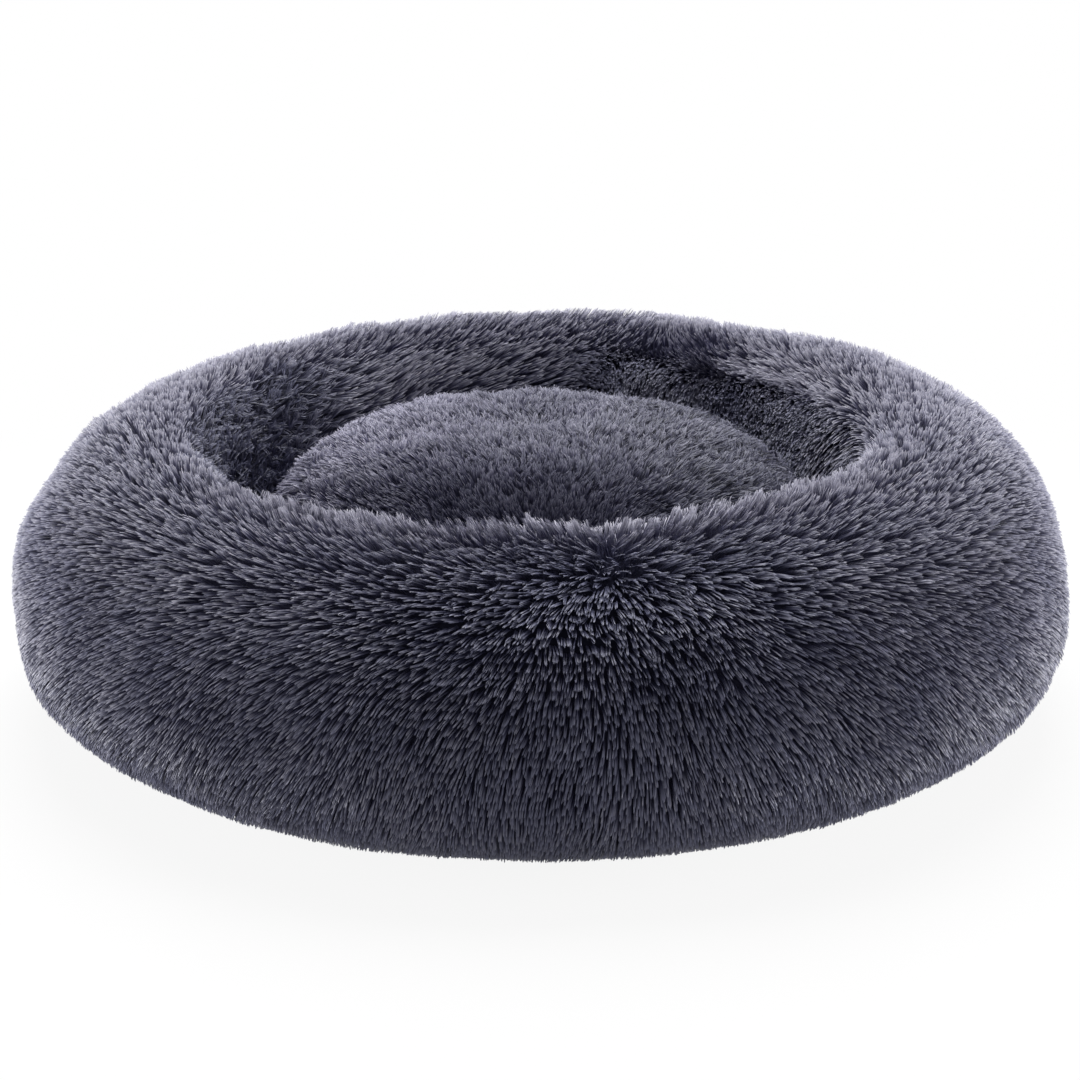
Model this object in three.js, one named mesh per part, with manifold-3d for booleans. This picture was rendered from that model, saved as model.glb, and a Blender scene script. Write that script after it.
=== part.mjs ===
import * as THREE from 'three';
import { mergeVertices } from 'three/addons/utils/BufferGeometryUtils.js';
import Module from 'manifold-3d';

const wasm = await Module();
wasm.setup();

// A round plush dog bed: a stuffed ring round a loose, stuffed cushion.
// Millimetres, +Z up, floor at z = 0, centre of the bed on the Z axis, front towards -Y.
// Plush is modelled out to the tips of its pile, and each cover closes with a zip at the back.

// Ring, measured to the tips of its pile
const ringDiameter = 760;
const ringHeight = 208;
const wallOutside = 115;
const wallInside = 65;
const outsideWidestHeight = 77;
const insideWidestHeight = 100;
const ringPlush = 18;
const crestOutsideRoundness = 2.11;
const crestInsideRoundness = 1.92;
const footRoundness = 2.34;
const ringSegments = 48;

// Gathers, where the ring's seams draw the plush in
const gatherAngles = [-80, 50, 83].map(THREE.MathUtils.degToRad);
const gatherShares = [0.02, 0.045, 0.035];
const gatherWidth = THREE.MathUtils.degToRad(9);
const gatherFadeLow = 45;
const gatherFadeHigh = 110;

// Cushion, measured to the tips of its pile
const cushionSideGap = 6;
const cushionTop = 194;
const cushionWidestHeight = 95;
const cushionPlush = 12;
const crownRoundness = 3.3;
const cushionFootRoundness = 5;
const cushionSegments = 40;

// Shallow dip in the cushion's crown
const dipX = -12;
const dipY = 62;
const dipDepth = 6;
const dipWidth = 46;
const dipFadeLow = 100;

// Cloths and linings
const baseCloth = 3;
const wellCloth = 2;
const linerCloth = 1.2;
const seatClearance = 0.3;
const liningClearance = 0.5;
const rimRise = 14;
const ringStuffingGap = 140;
const cushionStuffingGap = 90;
const stuffingGapWidth = 5;
const cushionStuffingGapRadius = 80;

// Zip: tapes with a coil on each, in a sloping band between the base's rim and the cover's edge
const zipBandRise = 20;
const zipStandoff = 2;
const tapeThickness = 1;
const coilWidth = 2.6;
const coilHeight = 2.2;
const coilChamfer = 0.6;
const chainGap = 1.4;
const ringZipArc = THREE.MathUtils.degToRad(144);
const cushionZipArc = THREE.MathUtils.degToRad(112);
const ringPlacketArc = THREE.MathUtils.degToRad(157.5);
const cushionPlacketArc = THREE.MathUtils.degToRad(135);
const ringZipSteps = 40;
const cushionZipSteps = 28;

// Zip slider, pull and stops
const slideClearance = 0.4;
const sliderLength = 12;
const sliderNoseWidth = 11.2;
const sliderTailWidth = 9.6;
const sliderChamfer = 2;
const plateThickness = 1.2;
const flangeWidth = 1;
const postLength = 3;
const postWidth = 0.6;
const crownWidth = 2;
const crownInnerRadius = 1.4;
const crownWall = 1;
const pullLength = 22;
const pullEyeWidth = 5.6;
const pullTabWidth = 7.6;
const pullThickness = 1.2;
const pullTaper = 8;
const eyeWidth = 3;
const eyeLength = 2.8;
const gripHoleLength = 7;
const gripHoleWidth = 3.2;
const stopLength = 2.4;
const stopWall = 1;

// Cuts run past the piece by this much, and joined solids sink into each other by it
const overrun = 1;
const weldOverlap = 0.2;

// Heights and radii worked out from the sizes above
const ringRadius = ringDiameter / 2 - wallOutside;
const ringRim = rimRise;
const ringPlacketTop = ringRim + zipBandRise;
const wellFloorZ = baseCloth + seatClearance;
const cushionFloor = wellFloorZ + wellCloth + seatClearance;
const cushionRadius = ringRadius - wallInside - cushionSideGap;
const cushionRim = cushionFloor + rimRise;
const cushionPlacketTop = cushionRim + zipBandRise;
const linerInset = liningClearance;
const fillInset = linerInset + linerCloth + liningClearance;
const back = Math.PI / 2;

const materials = {
  ringPlush: { color: 0x474753, roughness: 0.95, metalness: 0 },
  cushionPlush: { color: 0x5d5d6a, roughness: 0.95, metalness: 0 },
  baseCloth: { color: 0x25252a, roughness: 0.8, metalness: 0 },
  lining: { color: 0xe4e2dc, roughness: 0.9, metalness: 0 },
  fibre: { color: 0xf3f3f0, roughness: 1, metalness: 0 },
  zipTape: { color: 0x2d2d35, roughness: 0.85, metalness: 0 },
  zipMetal: { color: 0x6d6d72, roughness: 0.35, metalness: 0.9 },
};

// Shape helpers

// How far out a rounded wall stands, as a share, at a share of its height from the widest point
const bulge = (heightShare, roundness) => (1 - heightShare ** roundness) ** (1 / roundness);

// A geometry as one closed mesh: shared vertices, no empty triangles, faces pointing out
function closed(geometry) {
  geometry.deleteAttribute('normal');
  geometry.deleteAttribute('uv');
  const merged = mergeVertices(geometry);
  const position = merged.attributes.position;
  const corners = [new THREE.Vector3(), new THREE.Vector3(), new THREE.Vector3()];
  const index = [];
  let volume = 0;
  for (let i = 0; i < merged.index.count; i += 3) {
    const triangle = [0, 1, 2].map((k) => merged.index.getX(i + k));
    if (new Set(triangle).size < 3) continue;
    triangle.forEach((vertex, k) => corners[k].fromBufferAttribute(position, vertex));
    volume += corners[0].dot(corners[1].clone().cross(corners[2]));
    index.push(triangle);
  }
  const facing = volume < 0 ? index.map((triangle) => triangle.reverse()) : index;
  merged.setIndex(facing.flat());
  return merged;
}

// A profile of Vector2(radius, height) turned about the Z axis
function turned(profile, segments) {
  const loop = [...profile, profile[0]];
  return closed(new THREE.LatheGeometry(loop, segments).rotateX(Math.PI / 2));
}

// A section of Vector2(radius, height) swept about the Z axis from one angle to another
function arcBar(points, from, to, steps) {
  const section = THREE.ShapeUtils.isClockWise(points) ? [...points].reverse() : points;
  const count = section.length;
  const vertices = [];
  for (let i = 0; i <= steps; i++) {
    const angle = THREE.MathUtils.lerp(from, to, i / steps);
    for (const point of section) {
      vertices.push(point.x * Math.cos(angle), point.x * Math.sin(angle), point.y);
    }
  }
  const index = [];
  for (let i = 0; i < steps; i++) {
    for (let j = 0; j < count; j++) {
      const a = i * count + j;
      const b = i * count + (j + 1) % count;
      index.push(a, b + count, b);
      index.push(a, a + count, b + count);
    }
  }
  const end = steps * count;
  for (const [a, b, c] of THREE.ShapeUtils.triangulateShape(section, [])) {
    index.push(a, b, c);
    index.push(end + a, end + c, end + b);
  }
  const geometry = new THREE.BufferGeometry();
  geometry.setAttribute('position', new THREE.Float32BufferAttribute(vertices, 3));
  geometry.setIndex(index);
  return closed(geometry);
}

// A flat shape given a thickness, centred on its own plane
function slab(shape, thickness, curveSegments) {
  const options = { depth: thickness, bevelEnabled: false, curveSegments };
  return new THREE.ExtrudeGeometry(shape, options).translate(0, 0, -thickness / 2);
}

function box(low, high) {
  const size = new THREE.Vector3().subVectors(high, low);
  const centre = new THREE.Vector3().addVectors(low, high).divideScalar(2);
  return new THREE.BoxGeometry(size.x, size.y, size.z).translate(centre.x, centre.y, centre.z);
}

function solid(geometry) {
  const mesh = closed(geometry);
  const vertProperties = new Float32Array(mesh.attributes.position.array);
  const triVerts = new Uint32Array(mesh.index.array);
  return new wasm.Manifold(new wasm.Mesh({ numProp: 3, vertProperties, triVerts }));
}

function fromSolid(manifold) {
  const mesh = manifold.getMesh();
  const geometry = new THREE.BufferGeometry();
  geometry.setAttribute('position', new THREE.BufferAttribute(mesh.vertProperties, 3));
  geometry.setIndex(new THREE.BufferAttribute(mesh.triVerts, 1));
  return geometry;
}

function joined(geometries) {
  return fromSolid(geometries.map(solid).reduce((whole, next) => whole.add(next)));
}

function cut(geometry, tools) {
  return fromSolid(tools.map(solid).reduce((whole, tool) => whole.subtract(tool), solid(geometry)));
}

function moved(geometry, move) {
  const position = geometry.attributes.position;
  const point = new THREE.Vector3();
  for (let i = 0; i < position.count; i++) {
    point.fromBufferAttribute(position, i);
    move(point);
    position.setXYZ(i, point.x, point.y, point.z);
  }
  return geometry;
}

const model = new THREE.Group();

function piece(name, geometry, finish) {
  geometry.computeVertexNormals();
  const mesh = new THREE.Mesh(geometry, new THREE.MeshStandardMaterial(materials[finish]));
  mesh.name = name;
  model.add(mesh);
  return mesh;
}

// Ring profile

const outsideAt = (z, inset) =>
  ringRadius + (wallOutside - inset) * bulge((outsideWidestHeight - z) / outsideWidestHeight, footRoundness);
const insideAt = (z, inset) =>
  ringRadius - (wallInside - inset) * bulge((insideWidestHeight - z) / insideWidestHeight, footRoundness);

// Points over the crest, from the outer foot to the inner foot, a layer in from the pile's tips
function ringSection(inset, outerFoot, innerFoot, crestSteps) {
  const points = [...outerFoot];
  for (let i = 0; i <= crestSteps; i++) {
    const angle = Math.PI * i / crestSteps;
    const outside = i <= crestSteps / 2;
    const roundness = outside ? crestOutsideRoundness : crestInsideRoundness;
    const reach = outside ? wallOutside - inset : inset - wallInside;
    const widest = outside ? outsideWidestHeight : insideWidestHeight;
    const across = Math.abs(Math.cos(angle)) ** (2 / roundness);
    const up = Math.sin(angle) ** (2 / roundness);
    points.push(new THREE.Vector2(
      ringRadius + reach * across,
      widest + (ringHeight - inset - widest) * up,
    ));
  }
  return points.concat([...innerFoot].reverse());
}

const onWall = (wallAt, heights, inset) => heights.map((z) => new THREE.Vector2(wallAt(z, inset), z));

// Under the rim, the backing runs straight from the floor cloth to the rim
function tucked(wallAt, plush, floor, rim, z, inset) {
  const share = (z - floor) / (rim - floor);
  const radius = THREE.MathUtils.lerp(wallAt(floor, plush), wallAt(rim, plush), share);
  const lean = wallAt(floor, plush + inset) - wallAt(floor, plush);
  return new THREE.Vector2(radius + Math.sign(lean) * inset * 2, z);
}

// Seams draw the ring in towards the middle of its wall, more the higher it is
function gathered(geometry) {
  const middle = (outsideWidestHeight + insideWidestHeight) / 2;
  return moved(geometry, (point) => {
    const radius = Math.hypot(point.x, point.y);
    const angle = Math.atan2(point.y, point.x);
    const fade = THREE.MathUtils.smoothstep(point.z, gatherFadeLow, gatherFadeHigh);
    const draw = gatherAngles.reduce((sum, seam, i) => {
      const away = Math.atan2(Math.sin(angle - seam), Math.cos(angle - seam)) / gatherWidth;
      return sum + gatherShares[i] * Math.exp(-away * away);
    }, 0);
    const newRadius = radius + (ringRadius - radius) * draw * fade;
    point.x *= newRadius / radius;
    point.y *= newRadius / radius;
    point.z += (middle - point.z) * draw * fade;
  });
}

// A cone-shaped band on a cover's backing, with its own up and out directions
function bandOn(low, high) {
  const up = high.clone().sub(low);
  const length = up.length();
  up.normalize();
  const out = new THREE.Vector2(up.y, -up.x);
  const at = (u, n) => low.clone().addScaledVector(up, u).addScaledVector(out, n);
  return { up, out, length, at };
}

function placket(band, rimZ, topZ, arc, segments) {
  const inner = band.at(0, 0).x - ringPlush;
  const outer = band.at(band.length, 0).x + ringPlush + ringPlush;
  const low = rimZ - overrun;
  const section = [[inner, low], [outer, low], [outer, topZ], [inner, topZ]];
  const points = section.map(([r, z]) => new THREE.Vector2(r, z));
  return arcBar(points, back - arc / 2, back + arc / 2, segments);
}

// Ring pieces

const ringBand = bandOn(
  new THREE.Vector2(outsideAt(ringRim, ringPlush), ringRim),
  new THREE.Vector2(outsideAt(ringPlacketTop, ringPlush), ringPlacketTop),
);

function ringCover() {
  const sides = [
    { wallAt: outsideAt, foot: ringRim + seatClearance, widest: outsideWidestHeight },
    { wallAt: insideAt, foot: cushionFloor, widest: insideWidestHeight },
  ];
  const [outerTips, innerTips] = sides.map(({ wallAt, foot, widest }) =>
    onWall(wallAt, [foot, ringPlacketTop, (ringPlacketTop + widest) / 2], 0));
  const [outerFoot, innerFoot] = sides.map(({ wallAt, foot }) => [
    new THREE.Vector2(wallAt(foot, ringPlush), foot - overrun),
    ...onWall(wallAt, [foot, Math.max(foot, ringRim), ringPlacketTop], ringPlush),
  ]);
  const [outerEdge, innerEdge] = sides.map(({ wallAt, foot }) => onWall(wallAt, [foot], ringPlush));
  const tips = [...outerEdge, ...ringSection(0, outerTips, innerTips, 8), ...innerEdge];
  const backing = turned(ringSection(ringPlush, outerFoot, innerFoot, 5), ringSegments);
  const opening = placket(ringBand, ringRim, ringPlacketTop, ringPlacketArc, ringSegments / 2);
  return cut(gathered(turned(tips, ringSegments)), [backing, opening]);
}

function ringCore(inset, bottom) {
  const heights = [ringRim, ringPlacketTop];
  const [outerFoot, innerFoot] = [outsideAt, insideAt].map((wallAt) => [
    tucked(wallAt, ringPlush, baseCloth, ringRim, bottom, inset),
    ...onWall(wallAt, heights, ringPlush + inset),
  ]);
  return turned(ringSection(ringPlush + inset, outerFoot, innerFoot, 5), ringSegments);
}

function ringLiner() {
  const bottom = baseCloth + seatClearance;
  const hollow = ringCore(linerInset + linerCloth, bottom + linerCloth);
  const gap = box(
    new THREE.Vector3(-ringStuffingGap / 2, ringRadius - stuffingGapWidth / 2, bottom - overrun),
    new THREE.Vector3(ringStuffingGap / 2, ringRadius + stuffingGapWidth / 2, bottom + linerCloth + overrun),
  );
  return cut(ringCore(linerInset, bottom), [hollow, gap]);
}

function basePanel() {
  const flat = outsideAt(baseCloth, ringPlush);
  return turned([
    new THREE.Vector2(0, 0),
    new THREE.Vector2(flat, 0),
    ringBand.at(0, baseCloth + seatClearance),
    ringBand.at(0, seatClearance),
    new THREE.Vector2(flat, baseCloth),
    new THREE.Vector2(0, baseCloth),
  ], ringSegments);
}

function wellFloor() {
  const radius = insideAt(baseCloth, ringPlush) - wellCloth;
  return turned([
    new THREE.Vector2(0, wellFloorZ),
    new THREE.Vector2(radius, wellFloorZ),
    new THREE.Vector2(radius, wellFloorZ + wellCloth),
    new THREE.Vector2(0, wellFloorZ + wellCloth),
  ], ringSegments);
}

// Cushion profile

const cushionSideAt = (z, inset) => {
  const heightShare = (cushionWidestHeight - z) / (cushionWidestHeight - cushionFloor);
  return (cushionRadius - inset) * bulge(heightShare, cushionFootRoundness);
};

// Points from the foot up the side and over to the middle of the crown
function cushionSection(inset, foot, crownSteps) {
  const points = [...foot];
  for (let i = 0; i <= crownSteps; i++) {
    const angle = back * i / crownSteps;
    const across = i < crownSteps ? Math.cos(angle) ** (2 / crownRoundness) : 0;
    const up = Math.sin(angle) ** (2 / crownRoundness);
    points.push(new THREE.Vector2(
      (cushionRadius - inset) * across,
      cushionWidestHeight + (cushionTop - inset - cushionWidestHeight) * up,
    ));
  }
  return points;
}

function dipped(geometry) {
  return moved(geometry, (point) => {
    const away = Math.hypot(point.x - dipX, point.y - dipY) / dipWidth;
    const fade = THREE.MathUtils.smoothstep(point.z, dipFadeLow, cushionTop);
    point.z -= dipDepth * Math.exp(-away * away) * fade;
  });
}

// Cushion pieces

const cushionBand = bandOn(
  new THREE.Vector2(cushionSideAt(cushionRim, cushionPlush), cushionRim),
  new THREE.Vector2(cushionSideAt(cushionPlacketTop, cushionPlush), cushionPlacketTop),
);

function cushionCover() {
  const foot = cushionRim + seatClearance;
  const mid = (cushionPlacketTop + cushionWidestHeight) / 2;
  const tips = cushionSection(0, onWall(cushionSideAt, [foot, cushionPlacketTop, mid], 0), 7);
  const backing = cushionSection(cushionPlush, [
    new THREE.Vector2(0, foot - overrun),
    new THREE.Vector2(cushionSideAt(foot, cushionPlush), foot - overrun),
    ...onWall(cushionSideAt, [foot, cushionPlacketTop], cushionPlush),
  ], 5);
  const outside = dipped(turned([new THREE.Vector2(0, foot), ...tips], cushionSegments));
  const steps = cushionSegments / 2;
  const opening = placket(cushionBand, cushionRim, cushionPlacketTop, cushionPlacketArc, steps);
  return cut(outside, [turned(backing, cushionSegments), opening]);
}

function cushionCore(inset, bottom) {
  const floor = cushionFloor + baseCloth;
  const foot = [
    tucked(cushionSideAt, cushionPlush, floor, cushionRim, bottom, inset),
    ...onWall(cushionSideAt, [cushionRim, cushionPlacketTop], cushionPlush + inset),
  ];
  const side = cushionSection(cushionPlush + inset, foot, 5);
  return turned([new THREE.Vector2(0, bottom), ...side], cushionSegments);
}

function cushionLiner() {
  const bottom = cushionFloor + baseCloth + seatClearance;
  const hollow = cushionCore(linerInset + linerCloth, bottom + linerCloth);
  const reach = cushionStuffingGapRadius;
  const gap = box(
    new THREE.Vector3(-cushionStuffingGap / 2, reach - stuffingGapWidth / 2, bottom - overrun),
    new THREE.Vector3(cushionStuffingGap / 2, reach + stuffingGapWidth / 2, bottom + linerCloth + overrun),
  );
  return cut(cushionCore(linerInset, bottom), [hollow, gap]);
}

function cushionBase() {
  const flat = cushionSideAt(cushionFloor + baseCloth, cushionPlush);
  return turned([
    new THREE.Vector2(0, cushionFloor),
    new THREE.Vector2(flat, cushionFloor),
    cushionBand.at(0, baseCloth + seatClearance),
    cushionBand.at(0, seatClearance),
    new THREE.Vector2(flat, cushionFloor + baseCloth),
    new THREE.Vector2(0, cushionFloor + baseCloth),
  ], cushionSegments);
}

// Zip pieces, drawn along the zip (x), up the band (y) and out of the band (z)

const halfChain = chainGap / 2 + coilWidth;
const innerFlange = halfChain + slideClearance;
const plateZ = coilHeight + slideClearance;
const pivotZ = plateZ + plateThickness + crownInnerRadius;

// One tape with its coil, from its sewn edge at u = edge to the chain's middle
function stringerSection(band, edge, middle) {
  const side = Math.sign(edge - middle);
  const coilEdge = middle + side * chainGap / 2;
  const coilFoot = middle + side * halfChain;
  const chamfer = side * coilChamfer;
  return [
    [edge, 0],
    [edge, tapeThickness],
    [coilFoot, tapeThickness],
    [coilFoot, coilHeight - coilChamfer],
    [coilFoot - chamfer, coilHeight],
    [coilEdge + chamfer, coilHeight],
    [coilEdge, coilHeight - coilChamfer],
    [coilEdge, 0],
  ].map(([u, n]) => band.at(u, n + zipStandoff));
}

function sliderGeometry() {
  const nose = -sliderLength / 2;
  const tail = sliderLength / 2;
  const outline = new THREE.Shape([
    new THREE.Vector2(nose, -sliderNoseWidth / 2 + sliderChamfer),
    new THREE.Vector2(nose + sliderChamfer, -sliderNoseWidth / 2),
    new THREE.Vector2(tail, -sliderTailWidth / 2),
    new THREE.Vector2(tail, sliderTailWidth / 2),
    new THREE.Vector2(nose + sliderChamfer, sliderNoseWidth / 2),
    new THREE.Vector2(nose, sliderNoseWidth / 2 - sliderChamfer),
  ]);
  const topPlate = slab(outline, plateThickness, 1).translate(0, 0, plateZ + plateThickness / 2);
  const backPlate = slab(outline, plateThickness, 1).translate(0, 0, -slideClearance - plateThickness / 2);
  const flanges = [1, -1].map((side) => {
    const from = side * innerFlange;
    const to = side * (innerFlange + flangeWidth);
    return box(
      new THREE.Vector3(nose + sliderChamfer, Math.min(from, to), tapeThickness + slideClearance),
      new THREE.Vector3(tail, Math.max(from, to), plateZ + weldOverlap),
    );
  });
  const post = box(
    new THREE.Vector3(nose, -postWidth / 2, -slideClearance - weldOverlap),
    new THREE.Vector3(nose + postLength, postWidth / 2, plateZ + weldOverlap),
  );
  return joined([topPlate, backPlate, ...flanges, post, crownGeometry()]);
}

// The arch on the slider that the pull hangs from
function crownGeometry() {
  const outer = crownInnerRadius + crownWall;
  const foot = plateZ + plateThickness - weldOverlap;
  const arch = new THREE.Shape();
  arch.moveTo(outer, foot);
  arch.absarc(0, pivotZ, outer, 0, Math.PI, false);
  arch.lineTo(-outer, foot);
  arch.lineTo(-crownInnerRadius, foot);
  arch.absarc(0, pivotZ, crownInnerRadius, Math.PI, 0, true);
  arch.lineTo(crownInnerRadius, foot);
  return slab(arch, crownWidth, 6).rotateX(Math.PI / 2);
}

function ovalHole(length, width, centre) {
  const hole = new THREE.Path();
  const straight = (length - width) / 2;
  hole.absarc(centre + straight, 0, width / 2, -Math.PI / 2, Math.PI / 2, false);
  hole.absarc(centre - straight, 0, width / 2, Math.PI / 2, Math.PI * 3 / 2, false);
  return hole;
}

// The pull, hanging straight out from the middle of its eye bar at the origin
function pullGeometry() {
  const bar = pullThickness / 2;
  const tabEnd = pullLength - pullTabWidth / 2;
  const shape = new THREE.Shape();
  shape.moveTo(-bar, -pullEyeWidth / 2);
  shape.lineTo(bar + eyeLength, -pullEyeWidth / 2);
  shape.lineTo(bar + eyeLength + pullTaper, -pullTabWidth / 2);
  shape.absarc(tabEnd, 0, pullTabWidth / 2, -Math.PI / 2, Math.PI / 2, false);
  shape.lineTo(bar + eyeLength + pullTaper, pullTabWidth / 2);
  shape.lineTo(bar + eyeLength, pullEyeWidth / 2);
  shape.lineTo(-bar, pullEyeWidth / 2);
  const eye = [[bar, -1], [bar + eyeLength, -1], [bar + eyeLength, 1], [bar, 1]];
  shape.holes.push(new THREE.Path(eye.map(([x, side]) => new THREE.Vector2(x, side * eyeWidth / 2))));
  shape.holes.push(ovalHole(gripHoleLength, gripHoleWidth, tabEnd - gripHoleWidth / 2));
  return closed(slab(shape, pullThickness, 6).rotateY(-Math.PI / 2));
}

// A staple over the chain that stops the slider
function stopGeometry() {
  const half = innerFlange + stopWall;
  const foot = tapeThickness + seatClearance;
  const under = coilHeight + seatClearance;
  const outline = [
    [half, foot], [half, under + stopWall], [-half, under + stopWall], [-half, foot],
    [-innerFlange, foot], [-innerFlange, under], [innerFlange, under], [innerFlange, foot],
  ];
  const shape = new THREE.Shape(outline.map(([y, z]) => new THREE.Vector2(y, z)));
  const turn = new THREE.Matrix4().makeBasis(
    new THREE.Vector3(0, 1, 0),
    new THREE.Vector3(0, 0, 1),
    new THREE.Vector3(1, 0, 0),
  );
  return closed(slab(shape, stopLength, 1).applyMatrix4(turn));
}

// Stand a piece drawn in the zip's own directions on the chain, at an angle round the bed
function placeOnChain(mesh, band, middle, angle, height) {
  const along = new THREE.Vector3(-Math.sin(angle), Math.cos(angle), 0);
  const radial = new THREE.Vector3(Math.cos(angle), Math.sin(angle), 0);
  const up = radial.clone().multiplyScalar(band.up.x).setZ(band.up.y);
  const out = radial.clone().multiplyScalar(band.out.x).setZ(band.out.y);
  const spot = band.at(middle, zipStandoff + height);
  mesh.position.copy(radial.multiplyScalar(spot.x)).setZ(spot.y);
  mesh.quaternion.setFromRotationMatrix(new THREE.Matrix4().makeBasis(along, up, out));
}

function zip(prefix, band, topZ, arc, steps) {
  const from = back - arc / 2;
  const to = back + arc / 2;
  const slack = zipStandoff * band.out.y;
  const high = (topZ - seatClearance - band.at(0, 0).y - slack) / band.up.y;
  const middle = (seatClearance + high) / 2;
  const radius = band.at(middle, zipStandoff).x;
  const lower = stringerSection(band, seatClearance, middle);
  const upper = stringerSection(band, high, middle);
  piece(`${prefix}_zip_lower_stringer`, arcBar(lower, from, to, steps), 'zipTape');
  piece(`${prefix}_zip_upper_stringer`, arcBar(upper, from, to, steps), 'zipTape');
  const stopInset = stopLength / radius;
  const closedStop = piece(`${prefix}_zip_closed_stop`, stopGeometry(), 'zipMetal');
  placeOnChain(closedStop, band, middle, from + stopInset, 0);
  const openStop = piece(`${prefix}_zip_open_stop`, stopGeometry(), 'zipMetal');
  placeOnChain(openStop, band, middle, to - stopInset, 0);
  const start = from + stopInset + (stopLength / 2 + seatClearance + sliderLength / 2) / radius;
  placeOnChain(piece(`${prefix}_zip_slider`, sliderGeometry(), 'zipMetal'), band, middle, start, 0);
  placeOnChain(piece(`${prefix}_zip_pull`, pullGeometry(), 'zipMetal'), band, middle, start, pivotZ);
}

piece('ring_cover', ringCover(), 'ringPlush');
piece('ring_liner', ringLiner(), 'lining');
piece('ring_fill', ringCore(fillInset, baseCloth + seatClearance + linerCloth + liningClearance), 'fibre');
piece('base_panel', basePanel(), 'baseCloth');
piece('well_floor', wellFloor(), 'baseCloth');
zip('ring', ringBand, ringPlacketTop, ringZipArc, ringZipSteps);

const cushionFillFloor = cushionFloor + baseCloth + seatClearance + linerCloth + liningClearance;
piece('cushion_cover', cushionCover(), 'cushionPlush');
piece('cushion_base', cushionBase(), 'baseCloth');
piece('cushion_liner', cushionLiner(), 'lining');
piece('cushion_fill', cushionCore(fillInset, cushionFillFloor), 'fibre');
zip('cushion', cushionBand, cushionPlacketTop, cushionZipArc, cushionZipSteps);

export default model;
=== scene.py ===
import math

import bmesh
import bpy
import numpy as np
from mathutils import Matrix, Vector


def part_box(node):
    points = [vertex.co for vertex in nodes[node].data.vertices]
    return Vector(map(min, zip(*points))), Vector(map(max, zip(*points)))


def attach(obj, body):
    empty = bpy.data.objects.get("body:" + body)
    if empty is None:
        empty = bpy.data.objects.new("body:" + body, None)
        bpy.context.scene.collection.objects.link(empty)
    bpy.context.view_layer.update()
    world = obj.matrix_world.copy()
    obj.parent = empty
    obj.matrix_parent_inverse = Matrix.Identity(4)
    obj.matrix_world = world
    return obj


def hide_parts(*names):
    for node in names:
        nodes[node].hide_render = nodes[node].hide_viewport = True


# A round plush dog bed: long pile on a stuffed ring, finer pile on the cushion in its well.
# Metres, +Z up, floor at z = 0, the seen front faces -Y.

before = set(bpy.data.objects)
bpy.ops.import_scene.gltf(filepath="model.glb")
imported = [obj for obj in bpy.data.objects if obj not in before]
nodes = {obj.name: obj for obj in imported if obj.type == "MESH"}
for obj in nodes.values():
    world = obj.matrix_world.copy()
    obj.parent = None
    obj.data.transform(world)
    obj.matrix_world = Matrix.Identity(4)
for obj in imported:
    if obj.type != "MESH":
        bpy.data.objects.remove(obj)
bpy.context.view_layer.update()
random = np.random.default_rng(20)

MM = 0.001


def mm(*values):
    return [value * MM for value in values]


def degrees(*values):
    return [math.radians(value) for value in values]


# Ring, measured to the tips of its pile
ring_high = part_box("ring_cover")[1]
RING_HEIGHT = ring_high.z
WALL_OUTSIDE = 115 * MM
WALL_INSIDE = 65 * MM
RING_RADIUS = ring_high.x - WALL_OUTSIDE
OUTSIDE_WIDEST = 77 * MM
INSIDE_WIDEST = 100 * MM
CREST_OUTSIDE_ROUNDNESS = 2.11
CREST_INSIDE_ROUNDNESS = 1.92
FOOT_ROUNDNESS = 2.34
FOOT_HEIGHT = 2 * MM
RING_RIM = 14 * MM
RING_ZIP_TOP = 34 * MM
RING_ZIP_ARC = math.radians(157.5)
RING_PILE = 10.5 * MM
RING_ROOTS = 5.5 * MM

# Gathers, where the ring's seams draw the plush in
GATHER_ANGLES = degrees(-80, 50)
GATHER_SHARE = 0.02
GATHER_WIDTH = math.radians(9)
GATHER_FADE = mm(45, 110)
LUMP_FADE = mm(30, 70)

# The crest has settled a little at the front left, and lies lower at the back the further left it is
SAG_ANGLE = math.radians(-138)
SAG_WIDTH = math.radians(38)
SAG_DEPTH = 9 * MM
SAG_FADE = mm(120, 190)
TILT_SHARE = 0.013
TILT_BACK = mm(-50, 150)
TILT_FADE = mm(100, 190)

# Cushion, measured to the tips of its pile
cushion_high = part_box("cushion_cover")[1]
base_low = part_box("cushion_base")[0]
CUSHION_RADIUS = cushion_high.x
CUSHION_TOP = 194 * MM
CUSHION_FLOOR = base_low.z
CUSHION_RIM = CUSHION_FLOOR + RING_RIM
CUSHION_WIDEST = 95 * MM
CROWN_ROUNDNESS = 3.3
CUSHION_FOOT_ROUNDNESS = 5
CUSHION_ZIP_TOP = CUSHION_RIM + 20 * MM
CUSHION_ZIP_ARC = math.radians(135)
CUSHION_PILE = 7.5 * MM
CUSHION_ROOTS = 3.5 * MM
DIP = mm(-12, 62)
DIP_DEPTH = 6 * MM
DIP_WIDTH = 46 * MM
DIP_FADE = (100 * MM, CUSHION_TOP)

BACK = math.pi / 2
TURN = 2 * math.pi

# Cloth, and the zips behind the bed
RING_PLUSH = 18 * MM
CUSHION_PLUSH = 12 * MM
BASE_CLOTH = 3 * MM
SEAT = 0.3 * MM
ZIP_STANDOFF = 2 * MM
RING_CHAIN_ARC = math.radians(144)
CUSHION_CHAIN_ARC = math.radians(112)
CHAIN_GAP = 1.4 * MM
COIL_WIDTH = 2.6 * MM
COIL_HEIGHT = 2.2 * MM
WELL_FOOT = 11 * MM

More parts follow.
